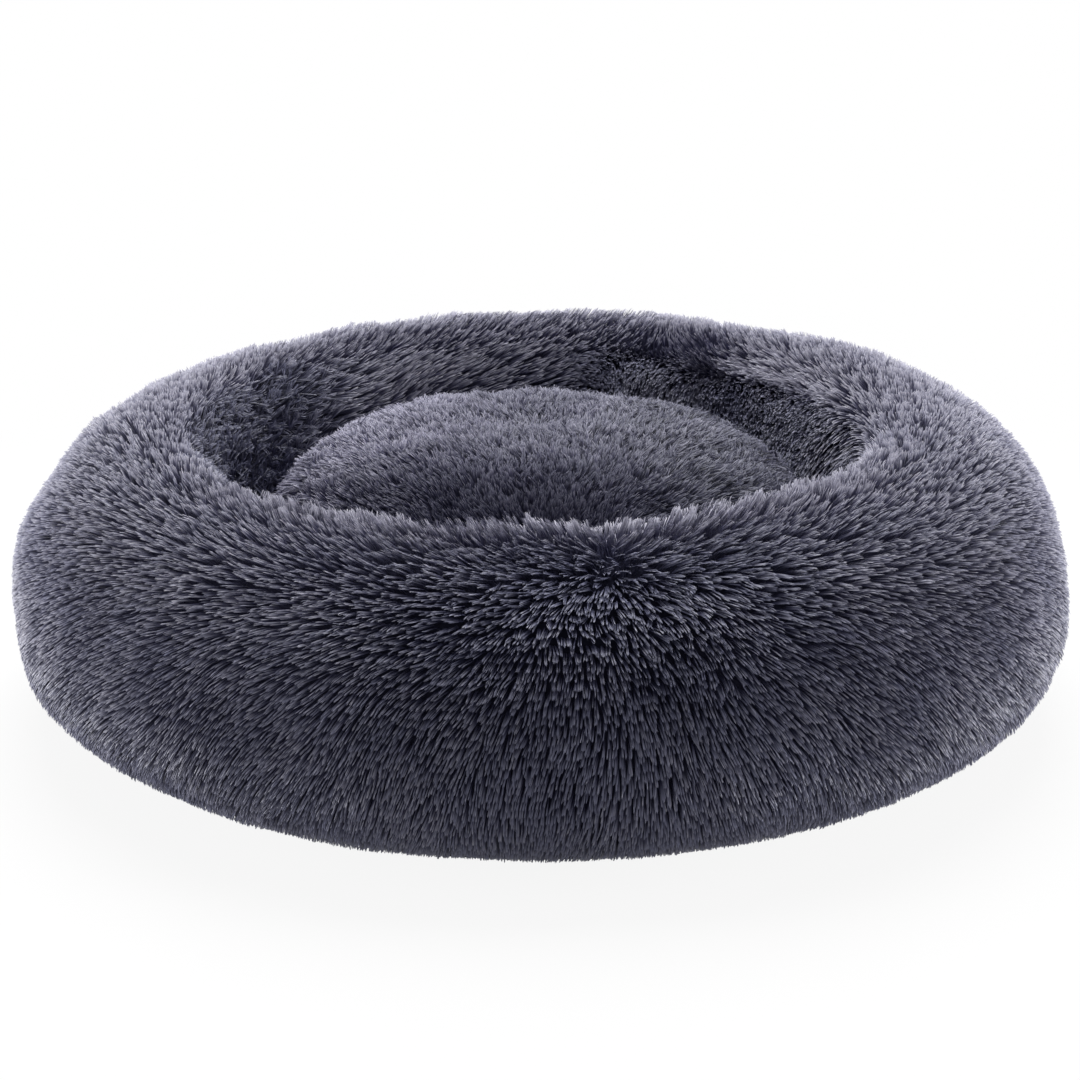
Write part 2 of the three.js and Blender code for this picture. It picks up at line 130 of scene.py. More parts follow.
# Layers of cloth round the bed; the edge of a zip's window is an angle
ROUND_STEPS = 192
WINDOW_EDGE = 0.0008
AXIS_GAP = 0.03 * MM
AXIS_REACH = 0.5 * MM
CROWN_GAP = 1 * MM
BAG_INSET = 4 * MM
FOOT_REACH = 30 * MM
FOOT_TUCK = 12 * MM
FUR_FLOOR = 1 * MM
SECTION_STEP = 0.5 * MM
FOOT_POINTS = 120
CREST_POINTS = 200


def smoothstep(x, low, high):
    t = np.clip((x - low) / (high - low), 0, 1)
    return t * t * (3 - 2 * t)


def plateau(x, start, full, last, end):
    """0 up to start, 1 from full to last, and 0 again from end on."""
    return smoothstep(x, start, full) * (1 - smoothstep(x, last, end))


def hill(away):
    return np.exp(-(away**2))


def wrapped(angle):
    """The same angle, at most half a turn either way."""
    return np.arctan2(np.sin(angle), np.cos(angle))


def waves(scale, seed, count=7):
    """A smooth random function of points, from -1 to 1 or so, with features of about this size."""
    source = np.random.default_rng(seed)
    directions = source.normal(size=(count, 3))
    directions /= np.linalg.norm(directions, axis=1, keepdims=True)
    pitch = TURN / (scale * source.uniform(*WAVE_SPREAD_SHARES, count))
    phase = source.uniform(0, TURN, count)

    def value(points):
        turns = points @ (directions * pitch[:, None]).T + phase
        return np.sin(turns).sum(-1) / math.sqrt(count)

    return value


# Random waves: the spread of their sizes, and the height, size and seed of each
WAVE_SPREAD_SHARES = (0.7, 1.5)
RIPPLES = {
    "ring_bend": ((0.12, 90 * MM, 1), (0.06, 22 * MM, 2)),
    "ring_lump": ((1.6 * MM, 90 * MM, 3),),
    "ring_root": ((0.6 * MM, 25 * MM, 4),),
    "ring_reach": ((0.08, 30 * MM, 5),),
    "ring_lift": ((0.4 * MM, 25 * MM, 6),),
    "ring_tint": ((0.12, 60 * MM, 7), (0.06, 12 * MM, 8)),
    "curl": ((1.3, 10 * MM, 9),),
    "cushion_lump": ((1.4 * MM, 70 * MM, 14),),
    "cushion_root": ((0.6 * MM, 18 * MM, 15),),
    "cushion_reach": ((0.15, 30 * MM, 16),),
    "cushion_lift": ((0.05, 22 * MM, 17),),
    "cushion_tint": ((0.065, 45 * MM, 18), (0.035, 10 * MM, 19)),
    "pucker": ((0.3 * MM, 16 * MM, 31),),
    "rumple": ((0.2 * MM, 70 * MM, 32),),
}


def ripples(points, name):
    return sum(height * waves(size, seed)(points) for height, size, seed in RIPPLES[name])


# Sections


def around(angle, r, z):
    return np.stack(np.broadcast_arrays(r * np.cos(angle), r * np.sin(angle), z), -1)


def bulge(height_share, roundness):
    return np.maximum(1 - height_share**roundness, 0) ** (1 / roundness)


class Section:
    """A curve of radius and height, by its own length, with its outward normal."""

    def __init__(self, r, z):
        lengths = np.concatenate([[0], np.cumsum(np.hypot(np.diff(r), np.diff(z)))])
        count = int(lengths[-1] / SECTION_STEP)
        self.length = lengths[-1]
        self.s = np.linspace(0, self.length, count)
        self.r = np.interp(self.s, lengths, r)
        self.z = np.interp(self.s, lengths, z)
        self.tr = np.gradient(self.r, self.s)
        self.tz = np.gradient(self.z, self.s)

    def at(self, s, depth=0):
        """Radius and height at a length along the curve, a depth below it."""
        r, z, tr, tz = (np.interp(s, self.s, a) for a in (self.r, self.z, self.tr, self.tz))
        size = np.hypot(tr, tz)
        return r - depth * tz / size, z + depth * tr / size

    def normal(self, s):
        tr, tz = (np.interp(s, self.s, a) for a in (self.tr, self.tz))
        size = np.hypot(tr, tz)
        return tz / size, -tr / size

    def length_at(self, keep, z):
        """The length at which the kept side of the curve is at this height."""
        chosen = keep(self.r)
        order = np.argsort(self.z[chosen])
        return float(np.interp(z, self.z[chosen][order], self.s[chosen][order]))


def ring_section():
    low_out = np.linspace(FOOT_HEIGHT, OUTSIDE_WIDEST, FOOT_POINTS)
    low_in = np.linspace(INSIDE_WIDEST, FOOT_HEIGHT, FOOT_POINTS)
    up = np.linspace(0, math.pi / 2, CREST_POINTS)[1:]
    down = np.linspace(math.pi / 2, math.pi, CREST_POINTS)[1:]
    out_reach = WALL_OUTSIDE * bulge((OUTSIDE_WIDEST - low_out) / OUTSIDE_WIDEST, FOOT_ROUNDNESS)
    in_reach = WALL_INSIDE * bulge((INSIDE_WIDEST - low_in) / INSIDE_WIDEST, FOOT_ROUNDNESS)
    out_power = 2 / CREST_OUTSIDE_ROUNDNESS
    in_power = 2 / CREST_INSIDE_ROUNDNESS
    r = np.concatenate([
        RING_RADIUS + out_reach,
        RING_RADIUS + WALL_OUTSIDE * np.abs(np.cos(up)) ** out_power,
        RING_RADIUS - WALL_INSIDE * np.abs(np.cos(down)) ** in_power,
        RING_RADIUS - in_reach[1:],
    ])
    z = np.concatenate([
        low_out,
        OUTSIDE_WIDEST + (RING_HEIGHT - OUTSIDE_WIDEST) * np.sin(up) ** out_power,
        INSIDE_WIDEST + (RING_HEIGHT - INSIDE_WIDEST) * np.abs(np.sin(down)) ** in_power,
        low_in[1:],
    ])
    return Section(r, z)


def cushion_section():
    side = np.linspace(CUSHION_FLOOR + FOOT_HEIGHT, CUSHION_WIDEST, FOOT_POINTS)
    share = (CUSHION_WIDEST - side) / (CUSHION_WIDEST - CUSHION_FLOOR)
    over = np.linspace(0, math.pi / 2, CREST_POINTS)[1:]
    power = 2 / CROWN_ROUNDNESS
    r = np.concatenate([
        CUSHION_RADIUS * bulge(share, CUSHION_FOOT_ROUNDNESS),
        CUSHION_RADIUS * np.abs(np.cos(over)) ** power,
    ])
    z = np.concatenate([
        side,
        CUSHION_WIDEST + (CUSHION_TOP - CUSHION_WIDEST) * np.sin(over) ** power,
    ])
    return Section(r, z)


RING = ring_section()
CUSHION = cushion_section()


def ring_outside_at(z, inset):
    share = bulge((OUTSIDE_WIDEST - z) / OUTSIDE_WIDEST, FOOT_ROUNDNESS)
    return RING_RADIUS + (WALL_OUTSIDE - inset) * share


def cushion_side_at(z, inset):
    share = (CUSHION_WIDEST - z) / (CUSHION_WIDEST - CUSHION_FLOOR)
    return (CUSHION_RADIUS - inset) * bulge(share, CUSHION_FOOT_ROUNDNESS)


class Band:
    """The cone-shaped band that a zip lies on: u up its slope and n out of it, as radius and height."""

    def __init__(self, side_at, plush, low, high, chain_arc):
        self.low = np.array([side_at(low, plush), low])
        along = np.array([side_at(high, plush), high]) - self.low
        self.up = along / np.hypot(*along)
        self.out = np.array([self.up[1], -self.up[0]])
        self.high = (high - SEAT - low - ZIP_STANDOFF * self.out[1]) / self.up[1]
        self.middle = (SEAT + self.high) / 2
        self.start = BACK - chain_arc / 2
        self.end = BACK + chain_arc / 2

    def at(self, u, n):
        return self.low + self.up * u + self.out * n

    def slab(self, low, high, floor, roof):
        """The section of a strip along the band, by its edges and its faces."""
        return [self.at(u, n) for u, n in ((low, floor), (low, roof), (high, roof), (high, floor))]

    def directions(self, angle):
        """Along the band, up its slope and out of it, at angles round the bed."""
        along = around(angle + math.pi / 2, 1, 0)
        up = around(angle, *self.up)
        return along, up, around(angle, *self.out)


def gathered(points):
    """Seams draw the ring in towards the middle of its wall, more the higher it is."""
    x, y, z = points[..., 0], points[..., 1], points[..., 2]
    radius = np.hypot(x, y)
    angle = np.arctan2(y, x)
    middle = (OUTSIDE_WIDEST + INSIDE_WIDEST) / 2
    draw = np.zeros_like(radius)
    for seam in GATHER_ANGLES:
        draw += GATHER_SHARE * hill(wrapped(angle - seam) / GATHER_WIDTH)
    draw *= smoothstep(z, *GATHER_FADE)
    scale = (radius + (RING_RADIUS - radius) * draw) / radius
    return np.stack([x * scale, y * scale, z + (middle - z) * draw], -1)


def dipped(points):
    """The cushion has sunk a little behind its middle."""
    away = np.hypot(points[..., 0] - DIP[0], points[..., 1] - DIP[1]) / DIP_WIDTH
    moved = points.copy()
    moved[..., 2] -= DIP_DEPTH * hill(away) * smoothstep(points[..., 2], *DIP_FADE)
    return moved


def ring_lump(points):
    """How much deeper the pile lies than its even surface: soft lumps, and a crest lower on the left."""
    x, y, z = points[..., 0], points[..., 1], points[..., 2]
    lumps = ripples(points, "ring_lump") * smoothstep(z, *LUMP_FADE)
    tilt = -x * TILT_SHARE * smoothstep(y, *TILT_BACK) * smoothstep(z, *TILT_FADE)
    away = wrapped(np.arctan2(y, x) - SAG_ANGLE) / SAG_WIDTH
    return lumps + tilt + SAG_DEPTH * hill(away) * smoothstep(z, *SAG_FADE)


def cushion_lump(points):
    return ripples(points, "cushion_lump") * smoothstep(points[..., 2], *LUMP_FADE)


class Pad:
    """The ring or the cushion: its wall, pile and floor, and the band that its zip lies on."""

    def __init__(self, **given):
        vars(self).update(given)
        self.body = f"{self.name}_body"
        self.slot = f"{self.name}_plush"
        self.foot = self.section.length_at(self.outside, self.rim)
        self.zip_edge = self.section.length_at(self.outside, self.zip_top)
        self.band = Band(self.side_at, self.plush, self.rim, self.zip_top, self.chain_arc)
        self.flat = self.side_at(self.floor + BASE_CLOTH, self.plush)

    def in_window(self, angle):
        """Whether angles lie where the zip leaves a window in the plush."""
        return np.abs(wrapped(angle - BACK)) < self.zip_arc / 2

    def roots_kept(self, angle, s):
        kept = ~(self.in_window(angle) & (s < self.zip_edge))
        return angle[kept], s[kept]

    def layer(self, depth, open_window=False):
        """Points over the pad from foot to foot or crown, this deep under the tips of its pile."""
        angle = round_angles(self.zip_arc if open_window else None)
        low = np.full_like(angle, self.foot)
        if open_window:
            low[self.in_window(angle)] = self.zip_edge
        s = low + (self.last - low) * np.linspace(0, 1, self.rows)[:, None]
        tips = around(angle, *self.section.at(s))
        r, z = self.section.at(s, depth + self.lump(tips))
        return self.drawn(around(angle, np.maximum(r, AXIS_REACH), z))

    def bag(self, name, depth, height):
        """A closed bag inside the pad, with a flat underside."""
        angle = round_angles()
        flat = [around(angle, r, self.floor + height) for r in self.under]
        return grid_object(name, np.concatenate([np.stack(flat), self.layer(depth)]), True)


RING_PAD = Pad(
    name="ring",
    section=RING,
    side_at=ring_outside_at,
    outside=lambda r: r > RING_RADIUS,
    floor=0,
    rim=RING_RIM,
    zip_top=RING_ZIP_TOP,
    zip_arc=RING_ZIP_ARC,
    chain_arc=RING_CHAIN_ARC,
    plush=RING_PLUSH,
    pile=RING_PILE,
    roots=RING_ROOTS,
    last=RING.length_at(lambda r: r < RING_RADIUS, WELL_FOOT),
    under=(RING_RADIUS - FOOT_TUCK, RING_RADIUS + FOOT_REACH),
    rows=90,
    lump=ring_lump,
    drawn=gathered,
    fill=0.85,
)
CUSHION_PAD = Pad(
    name="cushion",
    section=CUSHION,
    side_at=cushion_side_at,
    outside=lambda r: r > 0,
    floor=CUSHION_FLOOR,
    rim=CUSHION_RIM,
    zip_top=CUSHION_ZIP_TOP,
    zip_arc=CUSHION_ZIP_ARC,
    chain_arc=CUSHION_CHAIN_ARC,
    plush=CUSHION_PLUSH,
    pile=CUSHION_PILE,
    roots=CUSHION_ROOTS,
    last=CUSHION.length - CROWN_GAP,
    under=(AXIS_GAP, cushion_side_at(CUSHION_FLOOR + BASE_CLOTH, CUSHION_PLUSH) - BAG_INSET),
    rows=70,
    lump=cushion_lump,
    drawn=dipped,
    fill=0.8,
)


# Meshes


def mesh_object(name, vertices, loops, starts, totals, smooth=True):
    mesh = bpy.data.meshes.new(name)
    mesh.vertices.add(len(vertices))
    mesh.vertices.foreach_set("co", vertices.astype(np.float32).ravel())
    mesh.loops.add(len(loops))
    mesh.loops.foreach_set("vertex_index", loops.astype(np.int32))
    mesh.polygons.add(len(starts))
    mesh.polygons.foreach_set("loop_start", starts.astype(np.int32))
    mesh.polygons.foreach_set("loop_total", totals.astype(np.int32))
    mesh.update(calc_edges=True)
    mesh.polygons.foreach_set("use_smooth", np.full(len(starts), smooth))
    made = bpy.data.objects.new(name, mesh)
    bpy.context.scene.collection.objects.link(made)
    return made


def grid_object(name, points, wrap_rows):
    """A mesh of quads over a grid of points (rows, columns, 3), whose columns go round."""
    rows, columns = points.shape[:2]
    last = rows if wrap_rows else rows - 1
    i = np.arange(last)[:, None]
    j = np.arange(columns)[None, :]
    after_i = (i + 1) % rows
    after_j = (j + 1) % columns
    quads = np.stack([
        i * columns + j,
        i * columns + after_j,
        after_i * columns + after_j,
        after_i * columns + j,
    ], -1).reshape(-1, 4)
    count = len(quads)
    return mesh_object(name, points.reshape(-1, 3), quads.ravel(), np.arange(count) * 4, np.full(count, 4))


def round_angles(arc=None):
    """Angles round the bed, with a close pair at each end of a zip's window."""
    angle = np.arange(ROUND_STEPS) / ROUND_STEPS * TURN
    if arc is None:
        return angle
    ends = [BACK + side * arc / 2 + step for side in (-1, 1) for step in (-WINDOW_EDGE, WINDOW_EDGE)]
    return np.sort(np.concatenate([angle, ends]))


def settle(piece, material, body, slot, *replaced):
    piece.data.materials.append(material)
    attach(piece, body)
    if replaced:
        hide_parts(*replaced)


# Fur

STATION_SHARES = np.array([0, 0.42, 0.93, 1])
WIDTH_SHARES = np.array([0.8, 1, 0.9])
STRAND_VERTICES = 7
STRAND_LOOPS = np.array([0, 1, 3, 2, 2, 3, 5, 4, 4, 5, 6])
STRAND_STARTS = np.array([0, 4, 8])
STRAND_TOTALS = np.array([4, 4, 3])
STRAND_SIDES = np.array([-1, 1, -1, 1, -1, 1, 0])
MAP_EDGE = 0.003
LEAST_ACROSS = 1e-9
LEAST_LEAN = 1e-6
RISE_SHARES = (1.3, -0.3)
ROW_DRIFT_SHARE = 0.06
CLUMP_WARP_SHARE = 0.3
CLUMP_WAVE_SHARE = 2.5
CLUMP_ROW_KEY = 10000
CLUMP_SEEDS = (21, 22)
CLUMP_LIFTS = (-2, 1.7)
LOCK_SHARES = {"across": 0.14, "along": 0.4, "tint": 0.13, "length": 0.03, "sway": 0.25}
HAIR_SHARES = {"tint": 0.06, "length": 0.025, "sway": 0.12}


def fur_object(name, paths, outward, widths, twist, tint, shade_low, shade_high):
    """Flat tapering hairs along paths (count, stations, 3), mapped by tint and by shade from root to tip."""
    count = len(paths)
    along = np.gradient(paths, axis=1)
    along /= np.linalg.norm(along, axis=2, keepdims=True)
    across = np.cross(along, outward[:, None, :])
    across /= np.maximum(np.linalg.norm(across, axis=2, keepdims=True), LEAST_ACROSS)
    turned = across * np.cos(twist)[:, None, None] + np.cross(along, across) * np.sin(twist)[:, None, None]
    half = turned[:, :3] * (widths[:, None] * WIDTH_SHARES)[:, :, None] / 2
    vertices = np.empty((count, STRAND_VERTICES, 3), np.float32)
    vertices[:, 0:6:2] = paths[:, :3] - half
    vertices[:, 1:6:2] = paths[:, :3] + half
    vertices[:, 6] = paths[:, 3]
    numbers = np.arange(count)[:, None]
    made = mesh_object(
        name,
        vertices.reshape(-1, 3),
        (numbers * STRAND_VERTICES + STRAND_LOOPS).ravel(),
        (numbers * len(STRAND_LOOPS) + STRAND_STARTS).ravel(),
        np.tile(STRAND_TOTALS, count),
    )
    height = np.repeat(STATION_SHARES, 2)[:STRAND_VERTICES]
    uv = np.empty((count, STRAND_VERTICES, 2), np.float32)
    uv[..., 0] = np.clip(tint, MAP_EDGE, 1 - MAP_EDGE)[:, None] + STRAND_SIDES * MAP_EDGE
    uv[..., 1] = shade_low[:, None] + (shade_high - shade_low)[:, None] * height
    layer = made.data.uv_layers.new(name="OFBake")
    layer.data.foreach_set("uv", uv[:, STRAND_LOOPS].ravel())
    return made


def build_sectors(pad, sectors, angle, hairs, material):
    """The hairs of a pad as pieces side by side round the bed."""
    sector = ((angle + math.pi) / TURN * sectors).astype(int) % sectors
    for number in range(sectors):
        chosen = sector == number
        fur = fur_object(f"{pad.name}_fur_{number + 1}", *(a[chosen] for a in hairs))
        settle(fur, material, pad.body, pad.slot, f"{pad.name}_cover")
        print(fur.name, int(chosen.sum()), "hairs")


def clumps(angle, s, place, size):
    """Tufts fall in clumps of about this size, in a warped grid: a number for each tuft's clump."""
    warp = CLUMP_WARP_SHARE * size
    up, aside = (warp * waves(CLUMP_WAVE_SHARE * size, seed)(place) for seed in CLUMP_SEEDS)
    row = np.floor((s + up) / size)
    round_length = angle * RING_RADIUS + aside
    column = np.floor(round_length / size + 0.5 * (row % 2))
    return np.unique(row * CLUMP_ROW_KEY + column, return_inverse=True)[1]


def clump_middle(number, value):
    """The mean of a value over the tufts of each clump, at each tuft."""
    return (np.bincount(number, value) / np.bincount(number))[number]


def clump_lifts(number):
    return np.clip(random.normal(0, 1, number.max() + 1), *CLUMP_LIFTS)[number]


def tuft_hairs(lock_share, locks, hairs, lock_gap, lock_width):
    """Each tuft's hairs, in a few locks side by side: their tufts, places in the tuft and own variations."""
    tufts = len(lock_share)
    scale = {"across": lock_gap, "along": lock_gap, "tint": 1, "length": 1, "sway": lock_gap}
    lock = {key: random.normal(0, share * scale[key], (tufts, locks)) for key, share in LOCK_SHARES.items()}
    lock["across"] += (np.arange(locks) - (locks - 1) / 2) * lock_gap
    kept = (random.uniform(0, 1, (tufts, locks)) < lock_share[:, None]).ravel()
    tuft = np.repeat(np.repeat(np.arange(tufts), locks)[kept], hairs)
    hair = {key: np.repeat(value.ravel()[kept], hairs) for key, value in lock.items()}
    for key in ("across", "along"):
        hair[key] += random.uniform(-0.5, 0.5, len(tuft)) * lock_width
    for key, share in HAIR_SHARES.items():
        hair[key] += random.normal(0, share * scale[key], len(tuft))
    return tuft, hair


def hair_run(hair, reach, lift, forward_shares, length_share=1, sway_share=1):
    """How far each station of each hair lies ahead of its root, beside it and above it."""
    v = STATION_SHARES[None, :]
    length = 1 + length_share * hair["length"]
    forward = forward_shares[0] * v + forward_shares[1] * v**2
    rise = RISE_SHARES[0] * v + RISE_SHARES[1] * v**2
    ahead = hair["along"][:, None] + (reach * length)[:, None] * forward
    aside = hair["across"][:, None] + sway_share * hair["sway"][:, None] * v**2
    return ahead, aside, (lift * length)[:, None] * rise


def fade(name, x):
    """0 to 1 over a zone's start, and back to 0 over its end if it has one."""
    span = FADES[name]
    return smoothstep(x, *span) if len(span) == 2 else plateau(x, *span)


def mixed(zones, adds):
    """The sum of what each zone adds, at each tuft."""
    return sum(add * zones[name] for name, add in adds.items())


# Ring fur

WHORL_ANGLE = math.radians(-81)
MEETING_ANGLE = math.radians(66)
MEETING_FADE = math.radians(24)
RIGHT_SPAN = (MEETING_ANGLE - WHORL_ANGLE) % TURN
LATERAL_RADIUS = 360 * MM
LATERAL_CAP = 200 * MM
WHORL_SIZE = 7 * MM
LEVEL_TURNS = degrees(0, 13, 25, 60, 85, 180)
LEVEL_SHARES = (0.91, 0.945, 0.975, 1.0, 1.05, 1.06)
BAND_HALF = 14 * MM
BAND_TURN = math.radians(5)
BAND_DROP_SHARE = 0.55
STEEP_PLACES = mm(-300, -10, 0, 20, 28, 70)
STEEPS = mm(-480, -22, -9, -7, 16, 110)
CREST_CLUMP = 7 * MM
SCATTER_FADE = 20 * MM
SCATTER_SHARE = 0.3
STRAY_SHARE = 0.08
COMB_STRAY = math.radians(1)
INNER_ANGLES = degrees(-180, -150, -110, -20, 20, 42, 48, 52, 58, 72, 79, 90, 150, 180)
INNER_ROUND_SHARES = (-0.9, -0.7, -0.35, -0.5, -0.5, -0.7, -0.6, -0.4, -0.3, -0.1, -0.6, -0.93, -0.95, -0.9)
INNER_DOWN_SHARES = (-0.15, 0.4, 0.85, 0.7, 0.8, 0.6, 0.7, 0.85, 0.9, 0.95, 0.5, -0.28, -0.25, -0.15)
INNER_START = 24 * MM
INNER_RUN = 24 * MM
LEFT_EARLIER = 17 * MM
LEFT_SHARES = (0.5, 0.85)
PARTING_LIE_SHARES = (0.8, 0.08)
FAN_LIE_SHARES = (0.3, 0.15)
RING_FORWARD_SHARES = (0.3, 0.7)
RING_ROW = 5.3 * MM
RING_COLUMNS = 610
RING_LOCKS = {"locks": 2, "hairs": 3, "lock_gap": 1.5 * MM, "lock_width": 0.95 * MM}
RING_SECTORS = 12
RING_WIDTHS = (0.46, 0.7)
TOP_THINNER_SHARE = 0.25
RING_TWIST = 0.5
CLOSE_SHARE = 0.3
SMOOTH_LOCK_SHARE = 0.1
SMOOTH_TINT_SHARE = 0.5
REACH_STRAY_SHARE = 0.04
TINT_STRAY = 0.07
CLUMP_TINT = 0.08
# How light the roots in the parting are: painted light in its gaps.
PARTING_ROOT_PAINTED_LIGHT = 0.45
# How much the tips under the whorl are dimmed: painted shade.
UNDER_WHORL_PAINTED_SHADE = 0.1
RING_CREST = float(RING.s[np.argmax(RING.z)])

FAN_ANGLE = math.radians(57)
FAN_WIDTH = math.radians(5)
SEAM_WIDTH = math.radians(5)

# Where each zone starts and is full, and for some also where it is last full and ends
FADES = {
    # Angles round the ring
    "right_back": degrees(8, 25, 76, 90),
    "parting_turn": degrees(8, 25, 50, 57),
    "back_wall": degrees(80, 95),
    # Angles away from the whorl
    "whorl_turn": degrees(0, 35),
    "centre_turn": degrees(0, 40),
    "under_turn": degrees(0, 42),
    "band_turn": degrees(0, 30),
    # Lengths up the ring's wall and on over its crest
    "fan": [RING_CREST + a for a in mm(0, 15, 40, 60)],
    "parting": [RING_CREST + a for a in mm(4, 16, 34, 48)],
    "seam": mm(262, 280),
    "whorl": mm(220, 260),
    "under": mm(150, 210, 285, 300),
    "fringe": mm(298, 308),
    "above_low": mm(260, 295),
    "above_bottom": mm(50, 140),
    # Places along x or y
    "fringe_end": mm(-220, -50),
    "front": mm(100, 300),
    "back": mm(-100, 150),
    "left": mm(150, 300),
    "left_back": mm(-100, 50),
    "curly": mm(140, 210),
    "cushion_front": mm(20, 130),
    "cushion_left": mm(0, 150),
    "cushion_right": mm(0, 120),
}

# What each zone adds to the pile where it is full
RING_ADDS = {
    "reach": {
        "all": 12 * MM, "top": -1.5 * MM, "back_top": -2 * MM, "fringe": -2 * MM, "smooth": -6 * MM,
        "curly": -1 * MM, "inside": 5 * MM, "whorl": 3 * MM, "parting": 5 * MM, "back_wall": 4 * MM,
    },
    "lift": {
        "all": RING_PILE + 0.2 * MM, "crest": 2.6 * MM, "fringe": 3.5 * MM, "smooth": 0.5 * MM,
        "fan": 3 * MM, "curly": -1 * MM, "whorl": -3.5 * MM, "seam": 3 * MM, "parting": 1.5 * MM,
    },
    # Tint past "all" is painted light and shade by zone, as the light falls: lighter on the crest, back
    # crest, left crest, fringe, fan, parting and back wall, darker on the front wall, its bottom and centre,
    # the inner walls and round the whorl.
    "tint": {
        "all": 0.5, "fan": 0.35, "fringe": 0.5, "curly": -0.6, "smooth": -0.25, "whorl": -0.3, "crest": 0.15,
        "back_crest": 0.3, "parting": 0.25, "back_wall": 0.3, "low_front": -0.15, "left_crest": 0.1,
        "low_bottom": -0.2, "low_centre": -0.3, "under_whorl": -0.16,
    },
    # Lighter roots by zone: painted light in the gaps between tufts, where deep shade falls.
    "root_painted_light": {
        "smooth": 0.58, "fringe": 0.45, "back_crest": 0.42, "front": 0.18, "seam": 0.3, "centre": 0.3,
        "whorl": 0.15,
    },
    # Dimmer tips on the inner walls: painted shade.
    "tip_painted_shade": {"smooth": 0.09, "curly": 0.16},
    "clump_lift": {"all": 0.2 * MM, "loose": 0.7 * MM, "fringe": 1 * MM},
    "clump_bend": {"loose": 0.28, "curly": 0.4, "fringe": 0.2},
    "clump_pull": {"loose": 0.3, "curly": 0.35, "fringe": 0.25},
    "stray": {"all": 0.05, "top": 0.1, "seam": 0.25},
    "even": {"smooth": 1, "loose": 0.4},
    "width": {"all": 1, "smooth": 0.8, "centre": 0.3, "whorl": 0.2},
}


def tuft_grid():
    """Roots of the ring's pile, in rows of as many tufts each: angle and length, a little out of line."""
    rows = np.arange(RING_PAD.foot, RING_PAD.last, RING_ROW)
    shape = (len(rows), RING_COLUMNS)
    offset = np.cumsum(random.normal(0, ROW_DRIFT_SHARE, len(rows)))[:, None]
    angle = np.arange(RING_COLUMNS)[None, :] + offset + random.normal(0, STRAY_SHARE, shape)
    s = rows[:, None] + random.normal(0, STRAY_SHARE, shape) * RING_ROW
    s = np.clip(s, RING_PAD.foot, RING_PAD.last).ravel()
    return RING_PAD.roots_kept(wrapped(angle * (TURN / RING_COLUMNS)).ravel(), s)


def from_whorl(angle):
    """Signed angle from the whorl to a root: negative on the left half, positive on the right."""
    turn = (angle - WHORL_ANGLE) % TURN
    return np.where(turn <= RIGHT_SPAN, turn, turn - TURN)


def inner_share(angle, s):
    """Share by which a root lies on the wall of the well, which starts nearer the crest on the left."""
    start = RING_CREST + INNER_START - LEFT_EARLIER * smoothstep(-np.cos(angle), *LEFT_SHARES)
    return smoothstep(s, start, start + INNER_RUN)


def right_back(angle):
    """1 along the back right of the ring, where the pile of the inner wall is short and smooth."""
    return fade("right_back", angle)


def parting_share(angle, s):
    """1 between the crest and the well at the back right, where strands run forward."""
    return fade("parting_turn", angle) * fade("parting", s)


def cowlick(angle, s):
    """Share of the tuft that stands up where a seam meets the well."""
    return hill((angle - FAN_ANGLE) / FAN_WIDTH) * fade("fan", s)


def ring_zones(angle, s, place):
    """How far each root belongs to each zone of the ring's pile, from 0 to 1."""
    x, y = place[:, 0], place[:, 1]
    turn = from_whorl(angle)
    away = np.abs(turn)
    top = np.clip(RING.normal(s)[1], 0, 1)
    inside = inner_share(angle, s)
    crest = top * (1 - inside)
    fan = cowlick(angle, s)
    at_back = fade("back", y)
    curly = inside * fade("curly", -x)
    fringe = fade("fringe", s) * (1 - inside) * (1 - fade("fringe_end", y))
    whorl = (1 - fade("whorl_turn", away)) * fade("whorl", s) * (1 - fringe)
    low_front = fade("front", -y) * (1 - fade("above_low", s))
    bottom = 1 - fade("above_bottom", s)
    front = low_front * (1 - bottom)
    centre = (1 - fade("centre_turn", away)) * front
    return {
        "all": 1,
        "top": top,
        "back_top": top * at_back,
        "crest": crest,
        "back_crest": crest * at_back,
        "left_crest": crest * fade("left", -x) * fade("left_back", y),
        "loose": np.clip(top * crest + fan, 0, 1),
        "inside": inside,
        "curly": curly,
        "smooth": inside * right_back(angle),
        "back_wall": inside * fade("back_wall", angle) * (1 - curly),
        "fan": fan,
        "parting": parting_share(angle, s),
        "fringe": fringe,
        "whorl": whorl,
        "seam": hill(turn / SEAM_WIDTH) * whorl * fade("seam", s),
        "under_whorl": (1 - fade("under_turn", away)) * fade("under", s),
        "low_front": low_front,
        "low_bottom": bottom * low_front,
        "front": front,
        "centre": centre,
        "low_centre": centre * low_front,
    }


